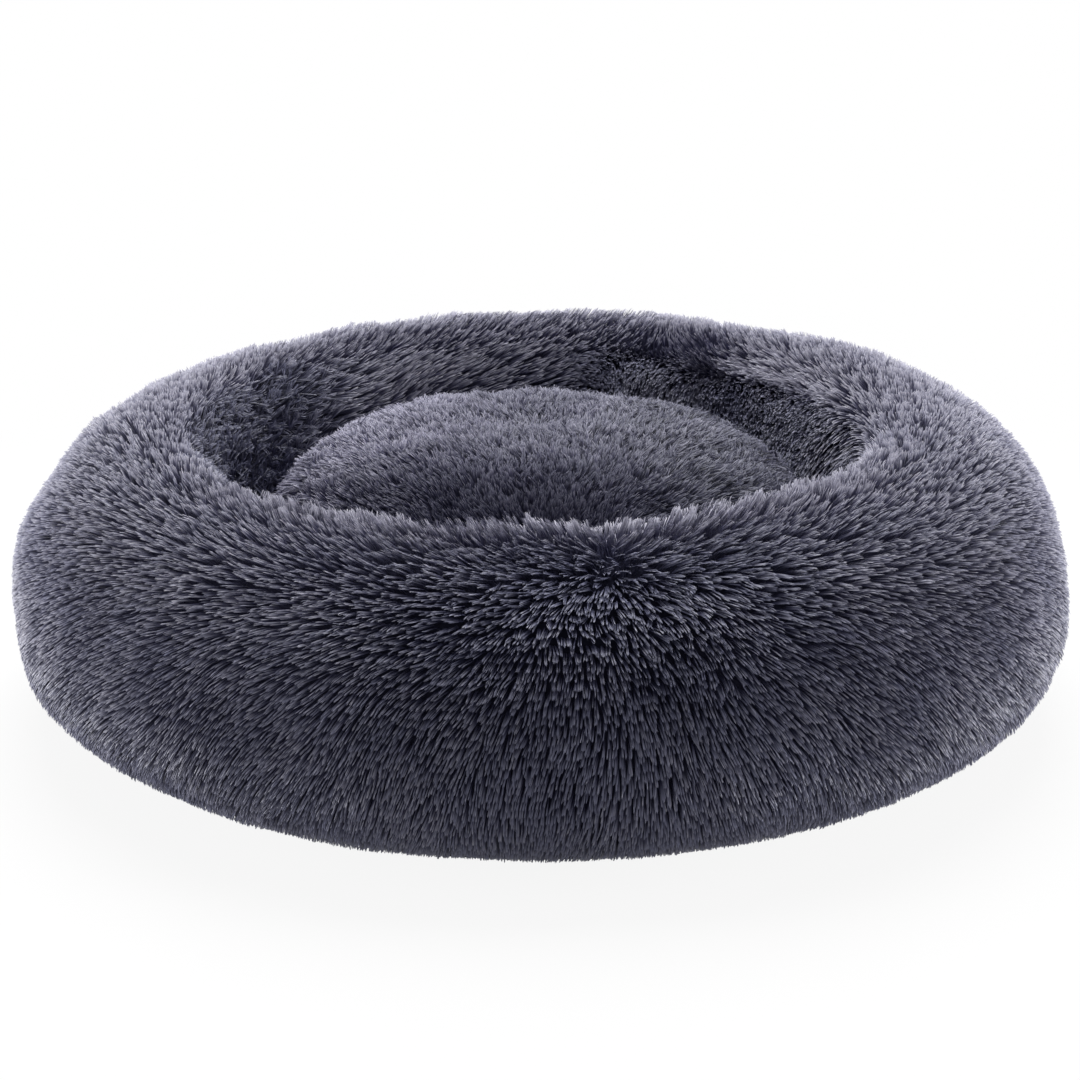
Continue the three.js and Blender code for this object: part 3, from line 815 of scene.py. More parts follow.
def ring_comb(angle, s):
    """Lie of the ring's pile: shares round the ring and along the section, as a vector of length up to 1."""
    turn = from_whorl(angle)
    span = np.where(turn > 0, RIGHT_SPAN, TURN - RIGHT_SPAN)
    to_meeting = smoothstep(span - np.abs(turn), 0, MEETING_FADE)
    lateral = LATERAL_CAP * np.tanh(turn * LATERAL_RADIUS / LATERAL_CAP) * to_meeting
    level = np.interp(np.abs(turn), LEVEL_TURNS, LEVEL_SHARES) * RING_CREST
    steep = np.interp(s - level, STEEP_PLACES, STEEPS)
    in_band = plateau(s, level - BAND_HALF, level, level + BAND_HALF, level + 2 * BAND_HALF)
    in_band *= 1 - fade("band_turn", np.abs(turn))
    lateral += in_band * (LATERAL_CAP * np.tanh(turn / BAND_TURN) - lateral)
    steep -= BAND_DROP_SHARE * in_band * np.abs(lateral)
    size = np.hypot(lateral, steep) + WHORL_SIZE
    inner = inner_share(angle, s)
    comb_u = lateral / size * (1 - inner) + np.interp(angle, INNER_ANGLES, INNER_ROUND_SHARES) * inner
    comb_s = steep / size * (1 - inner) + np.interp(angle, INNER_ANGLES, INNER_DOWN_SHARES) * inner
    parting = parting_share(angle, s)
    comb_u += parting * (PARTING_LIE_SHARES[0] - comb_u)
    comb_s += parting * (PARTING_LIE_SHARES[1] - comb_s)
    fan = cowlick(angle, s)
    comb_u += fan * (FAN_LIE_SHARES[0] * (angle - FAN_ANGLE) / FAN_WIDTH - comb_u)
    comb_s += fan * (FAN_LIE_SHARES[1] - comb_s)
    return comb_u, comb_s


def ring_aim(angle, s, place, zones, number):
    """The way each tuft points, round the ring and along the section, and how flat it lies."""
    comb_u, comb_s = ring_comb(angle + random.normal(0, 1, len(s)) * COMB_STRAY, s)
    clump_bend = random.normal(0, 1, number.max() + 1)[number]
    lifts = clump_lifts(number)
    bend = ripples(place, "ring_bend") + zones["curly"] * ripples(place, "curl")
    bend += mixed(zones, RING_ADDS["clump_bend"]) * clump_bend
    bend += random.normal(0, 1, len(s)) * mixed(zones, RING_ADDS["stray"])
    turn_u = comb_u * np.cos(bend) - comb_s * np.sin(bend)
    turn_s = comb_u * np.sin(bend) + comb_s * np.cos(bend)
    lean = np.maximum(np.hypot(turn_u, turn_s), LEAST_LEAN)
    return turn_u / lean, turn_s / lean, lean, lifts


def ring_tufts():
    """Roots of the ring's pile: more where it is short and smooth, and out of line inside the crest."""
    angle, s = tuft_grid()
    close = inner_share(angle, s) * right_back(angle) > CLOSE_SHARE
    angle, s = (np.concatenate([a, a[close]]) for a in (angle, s))
    scatter = smoothstep(s, RING_CREST - SCATTER_FADE, RING_CREST)
    s = s + random.normal(0, SCATTER_SHARE, len(s)) * RING_ROW * scatter
    angle = angle + random.normal(0, SCATTER_SHARE, len(s)) * TURN / RING_COLUMNS * scatter
    return angle, np.clip(s, RING_PAD.foot, RING_PAD.last)


def build_ring_fur(material):
    angle, s = ring_tufts()
    r, z = RING.at(s)
    place = around(angle, r, z)
    zones = ring_zones(angle, s, place)
    added = {name: mixed(zones, adds) for name, adds in RING_ADDS.items()}
    number = clumps(angle, s, place, CREST_CLUMP)
    aim_u, aim_s, lean, lifts = ring_aim(angle, s, place, zones, number)
    lump = ring_lump(place) + ripples(place, "ring_root")
    reach_share = 1 + ripples(place, "ring_reach") + random.normal(0, REACH_STRAY_SHARE, len(s))
    reach = lean * added["reach"] * reach_share
    lift = added["lift"] + added["clump_lift"] * lifts + ripples(place, "ring_lift")
    # The zone tints are painted light and shade; the ripples and random parts give the pile's own uneven
    # colour.
    tint = added["tint"] + ripples(place, "ring_tint")
    tint += random.normal(0, TINT_STRAY, len(s)) + CLUMP_TINT * zones["loose"] * lifts
    parting, smooth = zones["parting"], zones["smooth"]
    # shade_low lightens the roots in some zones: painted light in the gaps.
    shade_low = added["root_painted_light"] + parting * (PARTING_ROOT_PAINTED_LIGHT - added["root_painted_light"])
    # shade_high dims the tips on the inner walls and under the whorl: painted shade.
    shade_high = 1 - added["tip_painted_shade"] * (1 - parting) - UNDER_WHORL_PAINTED_SHADE * zones["under_whorl"]
    pull_u = added["clump_pull"] * (clump_middle(number, angle) - angle) * r
    pull_s = added["clump_pull"] * (clump_middle(number, s) - s)
    width = added["width"] * (1 - TOP_THINNER_SHARE * zones["top"])
    lock_share = np.clip(r / (RING_RADIUS + WALL_OUTSIDE), 0, 1) ** 0.5 + SMOOTH_LOCK_SHARE * smooth

    tuft, hair = tuft_hairs(lock_share, **RING_LOCKS)
    angle, s, r, aim_u, aim_s, lump, reach, lift = (
        a[tuft] for a in (angle, s, r, aim_u, aim_s, lump, reach, lift)
    )
    pull_u, pull_s, tint, shade_low, shade_high, width, smooth, even = (
        a[tuft] for a in (pull_u, pull_s, tint, shade_low, shade_high, width, smooth, added["even"])
    )
    count = len(s)
    hair["along"] += even * random.uniform(-0.5, 0.5, count) * RING_ROW
    hair["across"] += even * random.uniform(-0.5, 0.5, count) * RING_LOCKS["lock_gap"]
    ahead, aside, above = hair_run(hair, reach, lift, RING_FORWARD_SHARES)
    bent = STATION_SHARES[None, :] ** 2
    go_u = aim_u[:, None] * ahead - aim_s[:, None] * aside + pull_u[:, None] * bent
    go_s = aim_s[:, None] * ahead + aim_u[:, None] * aside + pull_s[:, None] * bent
    path_s = np.clip(s[:, None] + go_s, 0, RING.length)
    path_r, path_z = RING.at(path_s, RING_PILE - above + lump[:, None])
    path_angle = angle[:, None] + go_u / r[:, None]
    paths = gathered(around(path_angle, path_r, np.maximum(path_z, FUR_FLOOR)))
    outward = around(angle, *RING.normal(s))
    widths = random.uniform(*RING_WIDTHS, count) * MM * width
    twist = random.normal(0, RING_TWIST, count)
    tint = tint + hair["tint"] * (1 - SMOOTH_TINT_SHARE * smooth)
    hairs = (paths, outward, widths, twist, tint, shade_low, shade_high)
    build_sectors(RING_PAD, RING_SECTORS, angle, hairs, material)


# Cushion fur

FAN_POINT = np.array([10 * MM, -185 * MM])
CROWN_SHARES = (0.2, 0.75)
CUSHION_ROW = 3.2 * MM
CUSHION_TUFT = 3 * MM
CUSHION_LOCKS = {"locks": 3, "hairs": 2, "lock_gap": 0.9 * MM, "lock_width": 0.6 * MM}
CUSHION_CLUMP = 8 * MM
CUSHION_SECTORS = 5
CUSHION_STRAY_SHARE = 0.2
CUSHION_FORWARD_SHARES = (0.35, 0.65)
CUSHION_LENGTH_SHARE = 2
CUSHION_SWAY_SHARE = 1.5
CUSHION_WIDTHS = (0.36, 0.56)
CUSHION_TWIST = 0.6
SWIRL = (0.3, 50 * MM, (11, 12, 13))
CLUMP_TURN = 0.36
COMB_NOISE = 0.15
REACH_NOISE = 0.1
TINT_NOISE = 0.06
CLUMP_LIFT_SHARE = 0.11
LOCK_TINT_SHARE = 0.7
CUSHION_ADDS = {
    "reach": {"all": 12 * MM, "front": -6 * MM, "right": 4.2 * MM},
    "lift": {"all": 1.2 * CUSHION_PILE, "right": -0.15 * CUSHION_PILE},
    # Tint past "all": lighter on the left and darker on the right, painted light and shade of the nap.
    "tint": {"all": 0.25, "left": 0.65, "right": -0.15},
}


def cushion_tufts():
    """Roots of the cushion's pile, in rows round it that lose tufts towards the middle."""
    angles, lengths = [], []
    for s in np.arange(CUSHION_PAD.foot, CUSHION.length - CUSHION_TUFT, CUSHION_ROW):
        count = max(int(round(TURN * float(CUSHION.at(s)[0]) / CUSHION_TUFT)), 3)
        angle = np.arange(count) + random.uniform(0, 1) + random.normal(0, CUSHION_STRAY_SHARE, count)
        angles.append(angle / count * TURN)
        lengths.append(s + random.normal(0, CUSHION_STRAY_SHARE, count) * CUSHION_ROW)
    s = np.clip(np.concatenate(lengths), CUSHION_PAD.foot, CUSHION.length - CUSHION_TUFT / 2)
    return CUSHION_PAD.roots_kept(wrapped(np.concatenate(angles)), s)


def cushion_comb(tips, outward, number):
    """The way each tuft points: away from a point at the front on the crown, and down on the sides."""
    fan = np.zeros_like(tips)
    fan[:, :2] = tips[:, :2] - FAN_POINT
    fan[:, :2] /= np.linalg.norm(fan[:, :2], axis=1, keepdims=True)
    on_crown = smoothstep(outward[:, 2], *CROWN_SHARES)[:, None]
    share, size, seeds = SWIRL
    comb = fan * on_crown + np.array([0, 0, -1]) * (1 - on_crown)
    comb += share * np.stack([waves(size, seed)(tips) for seed in seeds], -1)
    clump_turn = random.normal(0, 1, (number.max() + 1, 3))[number]
    lifts = clump_lifts(number)
    comb += CLUMP_TURN * clump_turn + random.normal(0, COMB_NOISE, comb.shape)
    comb -= outward * (comb * outward).sum(1, keepdims=True)
    return comb / np.linalg.norm(comb, axis=1, keepdims=True), lifts


def build_cushion_fur(material):
    angle, s = cushion_tufts()
    outward = around(angle, *CUSHION.normal(s))
    tips = around(angle, *CUSHION.at(s))
    comb, lifts = cushion_comb(tips, outward, clumps(angle, s, tips, CUSHION_CLUMP))
    lump = cushion_lump(tips) + ripples(tips, "cushion_root")
    front = fade("cushion_front", -tips[:, 1])
    left = fade("cushion_left", -tips[:, 0]) * (1 - front)
    zones = {"all": 1, "front": front, "left": left, "right": fade("cushion_right", tips[:, 0])}
    added = {name: mixed(zones, adds) for name, adds in CUSHION_ADDS.items()}
    reach = added["reach"] * (1 + ripples(tips, "cushion_reach") + random.normal(0, REACH_NOISE, len(s)))
    lift = added["lift"] + CUSHION_PILE * (ripples(tips, "cushion_lift") + CLUMP_LIFT_SHARE * lifts)
    # The zone tints are painted light and shade; the ripples and random parts give the pile's own uneven
    # colour.
    tint = added["tint"] + ripples(tips, "cushion_tint")
    tint += random.normal(0, TINT_NOISE, len(s)) + CLUMP_TINT * lifts
    roots = tips - outward * (CUSHION_PILE + lump)[:, None]

    tuft, hair = tuft_hairs(np.ones(len(s)), **CUSHION_LOCKS)
    angle, reach, lift, tint, roots, outward, comb = (
        a[tuft] for a in (angle, reach, lift, tint, roots, outward, comb)
    )
    count = len(reach)
    strays = (CUSHION_LENGTH_SHARE, CUSHION_SWAY_SHARE)
    ahead, aside, above = hair_run(hair, reach, lift, CUSHION_FORWARD_SHARES, *strays)
    paths = roots[:, None, :]
    for way, run in ((comb, ahead), (np.cross(outward, comb), aside), (outward, above)):
        paths = paths + way[:, None, :] * run[..., None]
    paths = dipped(paths)
    paths[..., 2] = np.maximum(paths[..., 2], CUSHION_FLOOR + FUR_FLOOR)
    widths = random.uniform(*CUSHION_WIDTHS, count) * MM
    twist = random.normal(0, CUSHION_TWIST, count)
    tint = tint + LOCK_TINT_SHARE * hair["tint"]
    hairs = (paths, outward, widths, twist, tint, np.zeros(count), np.ones(count))
    build_sectors(CUSHION_PAD, CUSHION_SECTORS, angle, hairs, material)


# Cloth bodies under the fur

BACKING_RISE = 0.5 * MM
LINING_DEPTH = 1.2 * MM
FIBRE_DEPTH = 3 * MM
LINING_FLOOR = 3.6 * MM
FIBRE_FLOOR = 5.2 * MM


def build_insides(pad, backing, lining, fibre):
    """The plush's backing as a sheet of cloth, and the lining and the stuffing as closed bags in it."""
    cover = grid_object(f"{pad.name}_backing", pad.layer(pad.pile - BACKING_RISE, True), False)
    thick = cover.modifiers.new("thickness", "SOLIDIFY")
    thick.thickness = pad.roots
    thick.offset = -1
    settle(cover, backing, pad.body, pad.slot, f"{pad.name}_cover")
    for name, material, slot, node, depth, height in (
        ("lining", lining, "lining", "liner", LINING_DEPTH, LINING_FLOOR),
        ("stuffing", fibre, "fibre_fill", "fill", FIBRE_DEPTH, FIBRE_FLOOR),
    ):
        bag = pad.bag(f"{pad.name}_{name}", pad.pile + pad.roots + depth, height)
        settle(bag, material, pad.body, slot, f"{pad.name}_{node}")


# Base cloths, hems and zips

HEM_ROLL = 1.5 * MM
DOT_HEIGHT = 0.5 * MM
DOT_PITCH = 11 * MM
DOT_SIZE = 2.2 * MM
DOT_EDGE = 14 * MM
STITCH_PITCH = 4.6 * MM
STITCH = mm(1.6, 0.42, 0.36)
SEAM_INSET = 4.5 * MM
TAPE_THICKNESS = 0.7 * MM
TOOTH_PITCH = 1.5 * MM
TOOTH_TILT = math.radians(9)
PELLET_PLACES = (-0.66, 0, 0.66)
PELLET_ROUND = (0.74, 1, 0.74)
PELLET_SIDES = 6
FACING = mm(-1.95, -1.72)
END_TAB = mm(1.2, 1.9)
END_TAB_START = 1.5 * MM
TAPE_EDGE = 0.3 * MM
TAPE_SEAM_INSET = 3 * MM
TOOTH_SHARE = 0.36
HEM_RISE = 1 * MM
PLACKET_HEIGHTS = mm(-0.4, 1.4)
FOLD_SHARE = 0.3
CORNER_SHARE = 0.4
SLOPE_SHARE = 0.15
BACK_SHARE = 0.2
ROLL_TURNS = (-0.5, math.pi + 0.3)
PUCKER_REACH = 15 * MM
WELL_RADIUS = 246.5 * MM
WELL_EDGE = 0.6 * MM
WELL_TOP_DROP = 0.55 * MM
WELL_BOTTOM_RISE = 0.15 * MM
WELL_SEAM_DROP = 0.4 * MM
RUMPLE_CAP = 0.4 * MM
STITCH_STRAY_SHARE = 0.03
METAL_EDGE = 0.22 * MM
SHARP_ANGLE = math.radians(35)
WELD = 0.01 * MM
FLAT_ANGLE = 0.02
BEND_POINTS = 9
SLOPE_POINTS = 7
ROLL_POINTS = 11
BACK_POINTS = 5
FLAT_POINTS = 25
WELL_POINTS = 44
BAR_STEPS = 150
TAPE_STEPS = 200
TAB_STEPS = 20
TOOTH_SHIFT_SHARE = 0.25


def arc_bar(name, section, start, end, steps=BAR_STEPS):
    """A section of (radius, height), listed anticlockwise, swept from one angle to another and closed."""
    section = np.array(section)
    count = len(section)
    angle = np.linspace(start, end, steps + 1)
    points = around(angle[:, None], section[None, :, 0], section[None, :, 1]).reshape(-1, 3)
    i = np.arange(steps)[:, None] * count
    a = np.arange(count)[None, :]
    b = (a + 1) % count
    quads = np.stack([i + a, i + count + a, i + count + b, i + b], -1).reshape(-1, 4)
    caps = np.concatenate([np.arange(count), steps * count + np.arange(count)[::-1]])
    loops = np.concatenate([quads.ravel(), caps])
    totals = np.concatenate([np.full(len(quads), 4), [count, count]])
    starts = np.concatenate([[0], np.cumsum(totals)[:-1]])
    made = mesh_object(name, points, loops, starts, totals)
    made.data.set_sharp_from_angle(angle=SHARP_ANGLE)
    return made


def pellets(name, centres, along, up, size):
    """Small rounded grains, each by its middle, its long direction and its height's direction."""
    side = np.cross(up, along)
    turn = np.arange(PELLET_SIDES) / PELLET_SIDES * TURN
    shape = [(-1, 0, 0)]
    for place, share in zip(PELLET_PLACES, PELLET_ROUND):
        shape += [(place, share * math.cos(t), share * math.sin(t)) for t in turn]
    shape = np.array(shape + [(1, 0, 0)]) * size
    basis = np.stack([along, side, up], 1)
    points = centres[:, None, :] + shape @ basis
    rings = [1 + k * PELLET_SIDES + np.arange(PELLET_SIDES) for k in range(len(PELLET_PLACES))]
    after = [np.roll(ring, -1) for ring in rings]
    fans = [(0, b, a) for a, b in zip(rings[0], after[0])]
    fans += [(len(shape) - 1, a, b) for a, b in zip(rings[-1], after[-1])]
    sides = []
    for k in range(len(rings) - 1):
        sides += [(a, b, d, c) for a, b, c, d in zip(rings[k], after[k], rings[k + 1], after[k + 1])]
    loops = np.concatenate([np.ravel(fans), np.ravel(sides)])
    totals = np.array([3] * len(fans) + [4] * len(sides))
    starts = np.concatenate([[0], np.cumsum(totals)[:-1]])
    numbers = np.arange(len(centres))[:, None]
    return mesh_object(
        name,
        points.reshape(-1, 3),
        (numbers * len(shape) + loops).ravel(),
        (numbers * len(loops) + starts).ravel(),
        np.tile(totals, len(centres)),
    )


def round_seam(name, place, out, start, end):
    """Stitches along a circle, at a (radius, height), standing out in a direction of the same kind."""
    count = int((end - start) * place[0] / STITCH_PITCH)
    angle = start + (np.arange(count) + 0.5) / count * (end - start)
    angle += random.normal(0, STITCH_STRAY_SHARE, count) * STITCH_PITCH / place[0]
    along = around(angle + math.pi / 2, 1, 0)
    return pellets(name, around(angle, *place), along, around(angle, *out), STITCH)


def panel_profile(flat, floor, band):
    """A base cloth from its middle out to the rolled hem at its rim and back: radius and height."""
    bottom = floor + DOT_HEIGHT
    corner = np.array([flat, bottom])
    rim = band.at(-HEM_ROLL - SEAT, HEM_ROLL + SEAT)
    slope_end = rim + band.out * HEM_ROLL - band.up * HEM_ROLL
    t = np.linspace(0, 1, BEND_POINTS)[:, None]
    near, far = corner - (DOT_EDGE, 0), corner + CORNER_SHARE * (slope_end - corner)
    bend = (1 - t) ** 2 * near + 2 * t * (1 - t) * corner + t**2 * far
    slope = far + np.linspace(SLOPE_SHARE, 1, SLOPE_POINTS)[:, None] * (slope_end - far)
    turn = np.linspace(*ROLL_TURNS, ROLL_POINTS)[:, None]
    roll = rim + HEM_ROLL * (np.cos(turn) * band.out + np.sin(turn) * band.up)
    inner = np.array([flat, floor + BASE_CLOTH])
    back = roll[-1] + np.linspace(BACK_SHARE, 1, BACK_POINTS)[:, None] * (inner - roll[-1])
    low = np.linspace(AXIS_GAP, near[0], FLAT_POINTS)[:-1]
    flat_low = np.stack([low, np.full_like(low, bottom)], -1)
    flat_high = np.stack([low[::-1], np.full_like(low, inner[1])], -1)
    return np.concatenate([flat_low, bend, slope, roll, back, flat_high])


def grip_dots(name, flat, floor):
    """Small raised dots in staggered rows under a base cloth."""
    steps = np.arange(-int(flat / DOT_PITCH) - 1, int(flat / DOT_PITCH) + 2)
    column, row = np.meshgrid(steps, steps)
    x = (column + 0.5 * (row % 2)).ravel() * DOT_PITCH
    y = row.ravel() * DOT_PITCH * math.sqrt(3) / 2
    kept = np.hypot(x, y) < flat - DOT_EDGE
    centres = np.stack([x, y, np.full_like(x, floor + DOT_HEIGHT)], -1)[kept]
    along = np.tile([1.0, 0, 0], (len(centres), 1))
    down = np.tile([0, 0, -1.0], (len(centres), 1))
    return pellets(name, centres, along, down, (DOT_SIZE / 2, DOT_SIZE / 2, DOT_HEIGHT))


def base_panel(pad, prefix, node, cloth, thread, rubber):
    """A base cloth with a rolled hem, a sewn seam near it and grip dots under it."""
    profile = panel_profile(pad.flat, pad.floor, pad.band)
    points = around(round_angles(), profile[:, :1], profile[:, 1:])
    puckered = smoothstep(profile[:, :1], pad.flat, pad.flat + PUCKER_REACH)
    points[..., 2] += ripples(points, "pucker") * puckered
    points[..., 2] = np.minimum(points[..., 2], pad.band.at(0, 0)[1] - SEAT)
    settle(grid_object(f"{prefix}_cloth", points, True), cloth, pad.body, "base_cloth", node)
    rim = pad.band.at(0, BASE_CLOTH + SEAT)
    slope = rim - (pad.flat, pad.floor)
    length = np.hypot(*slope)
    out = np.array([slope[1], -slope[0]]) / length
    seam = round_seam(f"{prefix}_seam", rim - slope / length * SEAM_INSET, out, -math.pi, math.pi)
    settle(seam, thread, pad.body, "base_cloth")
    dots = grip_dots(f"{prefix}_grip_dots", pad.flat, pad.floor)
    settle(dots, rubber, pad.body, "base_cloth")


def well_cloth(cloth, thread):
    """The cloth under the cushion, a little rumpled, with two seams round it."""
    low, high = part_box("well_floor")
    radius = AXIS_GAP + np.linspace(0, 1, WELL_POINTS) * (WELL_RADIUS - AXIS_GAP)
    angle = round_angles()
    top = around(angle, radius[::-1, None], 0)
    top[..., 2] = high.z - WELL_TOP_DROP + np.clip(ripples(top, "rumple"), -RUMPLE_CAP, RUMPLE_CAP)
    bottom = around(angle, radius[:, None], low.z + WELL_BOTTOM_RISE)
    edge = around(angle, WELL_RADIUS + WELL_EDGE, (low.z + high.z) / 2)
    sheet = grid_object("well_cloth", np.concatenate([bottom, edge[None], top]), True)
    settle(sheet, cloth, "ring_body", "base_cloth", "well_floor")
    for number in (1, 2):
        place = (WELL_RADIUS - number * SEAM_INSET, high.z - WELL_SEAM_DROP)
        seam = round_seam(f"well_seam_{number}", place, (0, 1), -math.pi, math.pi)
        settle(seam, thread, "ring_body", "base_cloth")


def hems(pad, cloth, thread):
    """The cover's turned edge, from its backing down to the zip's tape or to the base's rim."""
    band = pad.band
    depths = (pad.pile - HEM_RISE, pad.pile + pad.roots)
    over_zip = [band.at(band.high + SEAT, ZIP_STANDOFF + height) for height in PLACKET_HEIGHTS]
    over_zip += [pad.section.at(pad.zip_edge, depth) for depth in depths]
    over_rim = [band.at(-2 * SEAT, 2 * SEAT), band.at(-SEAT, 2 * HEM_ROLL - SEAT)]
    over_rim += [pad.section.at(pad.foot, depth) for depth in depths]
    window = (BACK - pad.zip_arc / 2 - WINDOW_EDGE, BACK + pad.zip_arc / 2 + WINDOW_EDGE)
    rest = (window[1], window[0] + TURN)
    for name, bar, ends in (("placket_hem", over_zip, window), ("rim_hem", over_rim, rest)):
        settle(arc_bar(f"{pad.name}_{name}", bar, *ends), cloth, pad.body, pad.slot)
    fold = np.array(over_zip[2]) - over_zip[1]
    out = np.array([fold[1], -fold[0]]) / np.hypot(*fold)
    seam = round_seam(f"{pad.name}_placket_seam", over_zip[1] + FOLD_SHARE * fold, out, *window)
    settle(seam, thread, pad.body, pad.slot)
    facing = arc_bar(f"{pad.name}_zip_facing", band.slab(-SEAT, band.high, *FACING), *window)
    settle(facing, cloth, pad.body, "zip_tape")


def zip_sides(pad, tape_cloth, nylon, thread):
    """The two woven tapes, each sewn in along its edge and with a coil of teeth along the chain."""
    band = pad.band
    roof = ZIP_STANDOFF + TAPE_THICKNESS
    ends = (BACK - pad.zip_arc / 2, BACK + pad.zip_arc / 2)
    for name, side, edge in (("lower", -1, SEAT), ("upper", 1, band.high)):
        prefix = f"{pad.name}_zip_{name}"
        inner = band.middle + side * (CHAIN_GAP / 2 + TAPE_EDGE)
        slab = band.slab(min(edge, inner), max(edge, inner), ZIP_STANDOFF, roof)
        tape = arc_bar(f"{prefix}_tape", slab, *ends, TAPE_STEPS)
        settle(tape, tape_cloth, pad.body, "zip_tape", f"{prefix}_stringer")
        seam = round_seam(f"{prefix}_seam", band.at(edge - side * TAPE_SEAM_INSET, roof), band.out, *ends)
        settle(seam, thread, pad.body, "zip_tape")
        height = (COIL_HEIGHT - TAPE_THICKNESS / 2) / 2
        across = band.middle + side * (CHAIN_GAP + COIL_WIDTH) / 2
        middle = band.at(across, ZIP_STANDOFF + COIL_HEIGHT - height)
        count = int((band.end - band.start) * middle[0] / TOOTH_PITCH)
        share = (np.arange(count) + 0.5 + TOOTH_SHIFT_SHARE * side) / count
        angle = band.start + share * (band.end - band.start)
        along, up, out = band.directions(angle)
        lie = up * math.cos(TOOTH_TILT) + along * math.sin(TOOTH_TILT)
        size = (COIL_WIDTH / 2, TOOTH_SHARE * TOOTH_PITCH, height)
        teeth = pellets(f"{prefix}_coil", around(angle, *middle), lie, out, size)
        settle(teeth, nylon, pad.body, "zip_tape", f"{prefix}_stringer")
    past = END_TAB_START / band.low[0]
    slab = band.slab(SEAT, band.high, *END_TAB)
    for number, spread in enumerate(((ends[0], band.start - past), (band.end + past, ends[1]))):
        tab = arc_bar(f"{pad.name}_zip_end_tab_{number + 1}", slab, *spread, TAB_STEPS)
        settle(tab, tape_cloth, pad.body, "zip_tape")


def metal_part(node, body, metal):
    """A metal zip part with its edges rounded over."""
    made = bpy.data.objects.new(f"{node}_rounded", nodes[node].data.copy())
    bpy.context.scene.collection.objects.link(made)
    shape = bmesh.new()
    shape.from_mesh(made.data)
    bmesh.ops.remove_doubles(shape, verts=shape.verts, dist=WELD)
    bmesh.ops.dissolve_limit(shape, angle_limit=FLAT_ANGLE, verts=shape.verts, edges=shape.edges)
    shape.to_mesh(made.data)
    shape.free()
    made.data.materials.clear()
    edges = made.modifiers.new("edges", "BEVEL")
    edges.width = METAL_EDGE
    edges.segments = 2
    edges.limit_method = "ANGLE"
    made.data.shade_smooth()
    edges.harden_normals = True
    settle(made, metal, body, "zip_metal", node)


def build_zip(pad, tape_cloth, nylon, thread, metal):
    zip_sides(pad, tape_cloth, nylon, thread)
    metal_part(f"{pad.name}_zip_closed_stop", pad.body, metal)
    metal_part(f"{pad.name}_zip_open_stop", pad.body, metal)
    metal_part(f"{pad.name}_zip_slider", f"{pad.name}_slider_body", metal)
    metal_part(f"{pad.name}_zip_pull", f"{pad.name}_pull_body", metal)


# Materials

# The wave texture has this many radians to a unit by itself
WAVE_RATE = 20


def new_material(name):
    material = bpy.data.materials.new(name)
    material.use_nodes = True
    tree = material.node_tree
    return material, tree, tree.nodes["Principled BSDF"]


def fill(tree, node, inputs):
    """Set a node's inputs, by name or number, to values or to other nodes' outputs."""
    for key, value in inputs.items():
        if isinstance(value, bpy.types.NodeSocket):
            tree.links.new(value, node.inputs[key])
        else:
            node.inputs[key].default_value = value


def add(tree, kind, inputs=None, **settings):
    """A new shader node, with its settings and its inputs."""
    node = tree.nodes.new(f"ShaderNode{kind}")
    for key, value in settings.items():
        setattr(node, key, value)
    fill(tree, node, inputs or {})
    return node


def ramp(tree, factor, *stops):
    """Colours along a factor, through stops of a place and a colour."""
    node = add(tree, "ValToRGB", {0: factor})
    elements = node.color_ramp.elements
    for place, colour in stops[1:-1]:
        elements.new(place)
    for element, (place, colour) in zip(elements, stops):
        element.position = place
        element.color = (*colour, 1)
    return node.outputs[0]


def shades(colour, *shares):
    return [tuple(share * c for c in colour) for share in shares]


def fur_material(name, root, middle, tip, cool, warm, shine):
    """Colour runs from a dark root to a light tip, the root's darkness painted shade deep in the pile, and
    each hair's tint, its own colour together with painted light and shade by zone, makes it lighter or
    darker.
    """
    material, tree, shader = new_material(name)
    parts = add(tree, "SeparateXYZ", {0: add(tree, "UVMap", uv_map="OFBake").outputs[0]})
    # The dark stops towards the root are painted shade, as deep in the pile.
    along = ramp(tree, parts.outputs[1], (0.4, root), (0.7, middle), (1, tip))
    tint = ramp(tree, parts.outputs[0], (0, cool), (1, warm))
    mix = add(tree, "Mix", {0: 1, 6: along, 7: tint}, data_type="RGBA", blend_type="MULTIPLY")
    fill(tree, shader, {"Base Color": mix.outputs[2], "Roughness": 0.5, "Specular IOR Level": shine})
    return material


def cloth_material(name, colour, grain_scale):
    material, tree, shader = new_material(name)
    place = add(tree, "TexCoord").outputs["Object"]
    grain = add(tree, "TexNoise", {"Scale": grain_scale, "Vector": place})
    dark, light = shades(colour, 0.7, 1.3)
    tone = ramp(tree, grain.outputs[0], (0, dark), (1, light))
    fill(tree, shader, {"Base Color": tone, "Roughness": 1, "Specular IOR Level": 0})
    return material


def round_coordinates(tree, place, radius, slope):
    """Length round the bed, length up a slope and 0, from a place on a band about the Z axis."""
    x, y, z = add(tree, "SeparateXYZ", {0: place}).outputs
    turn = add(tree, "Math", {0: y, 1: x}, operation="ARCTAN2")
    length = add(tree, "Math", {0: turn.outputs[0], 1: radius}, operation="MULTIPLY")
    up = add(tree, "Math", {0: z, 1: slope}, operation="MULTIPLY")
    return add(tree, "CombineXYZ", {0: length.outputs[0], 1: up.outputs[0]}).outputs[0]


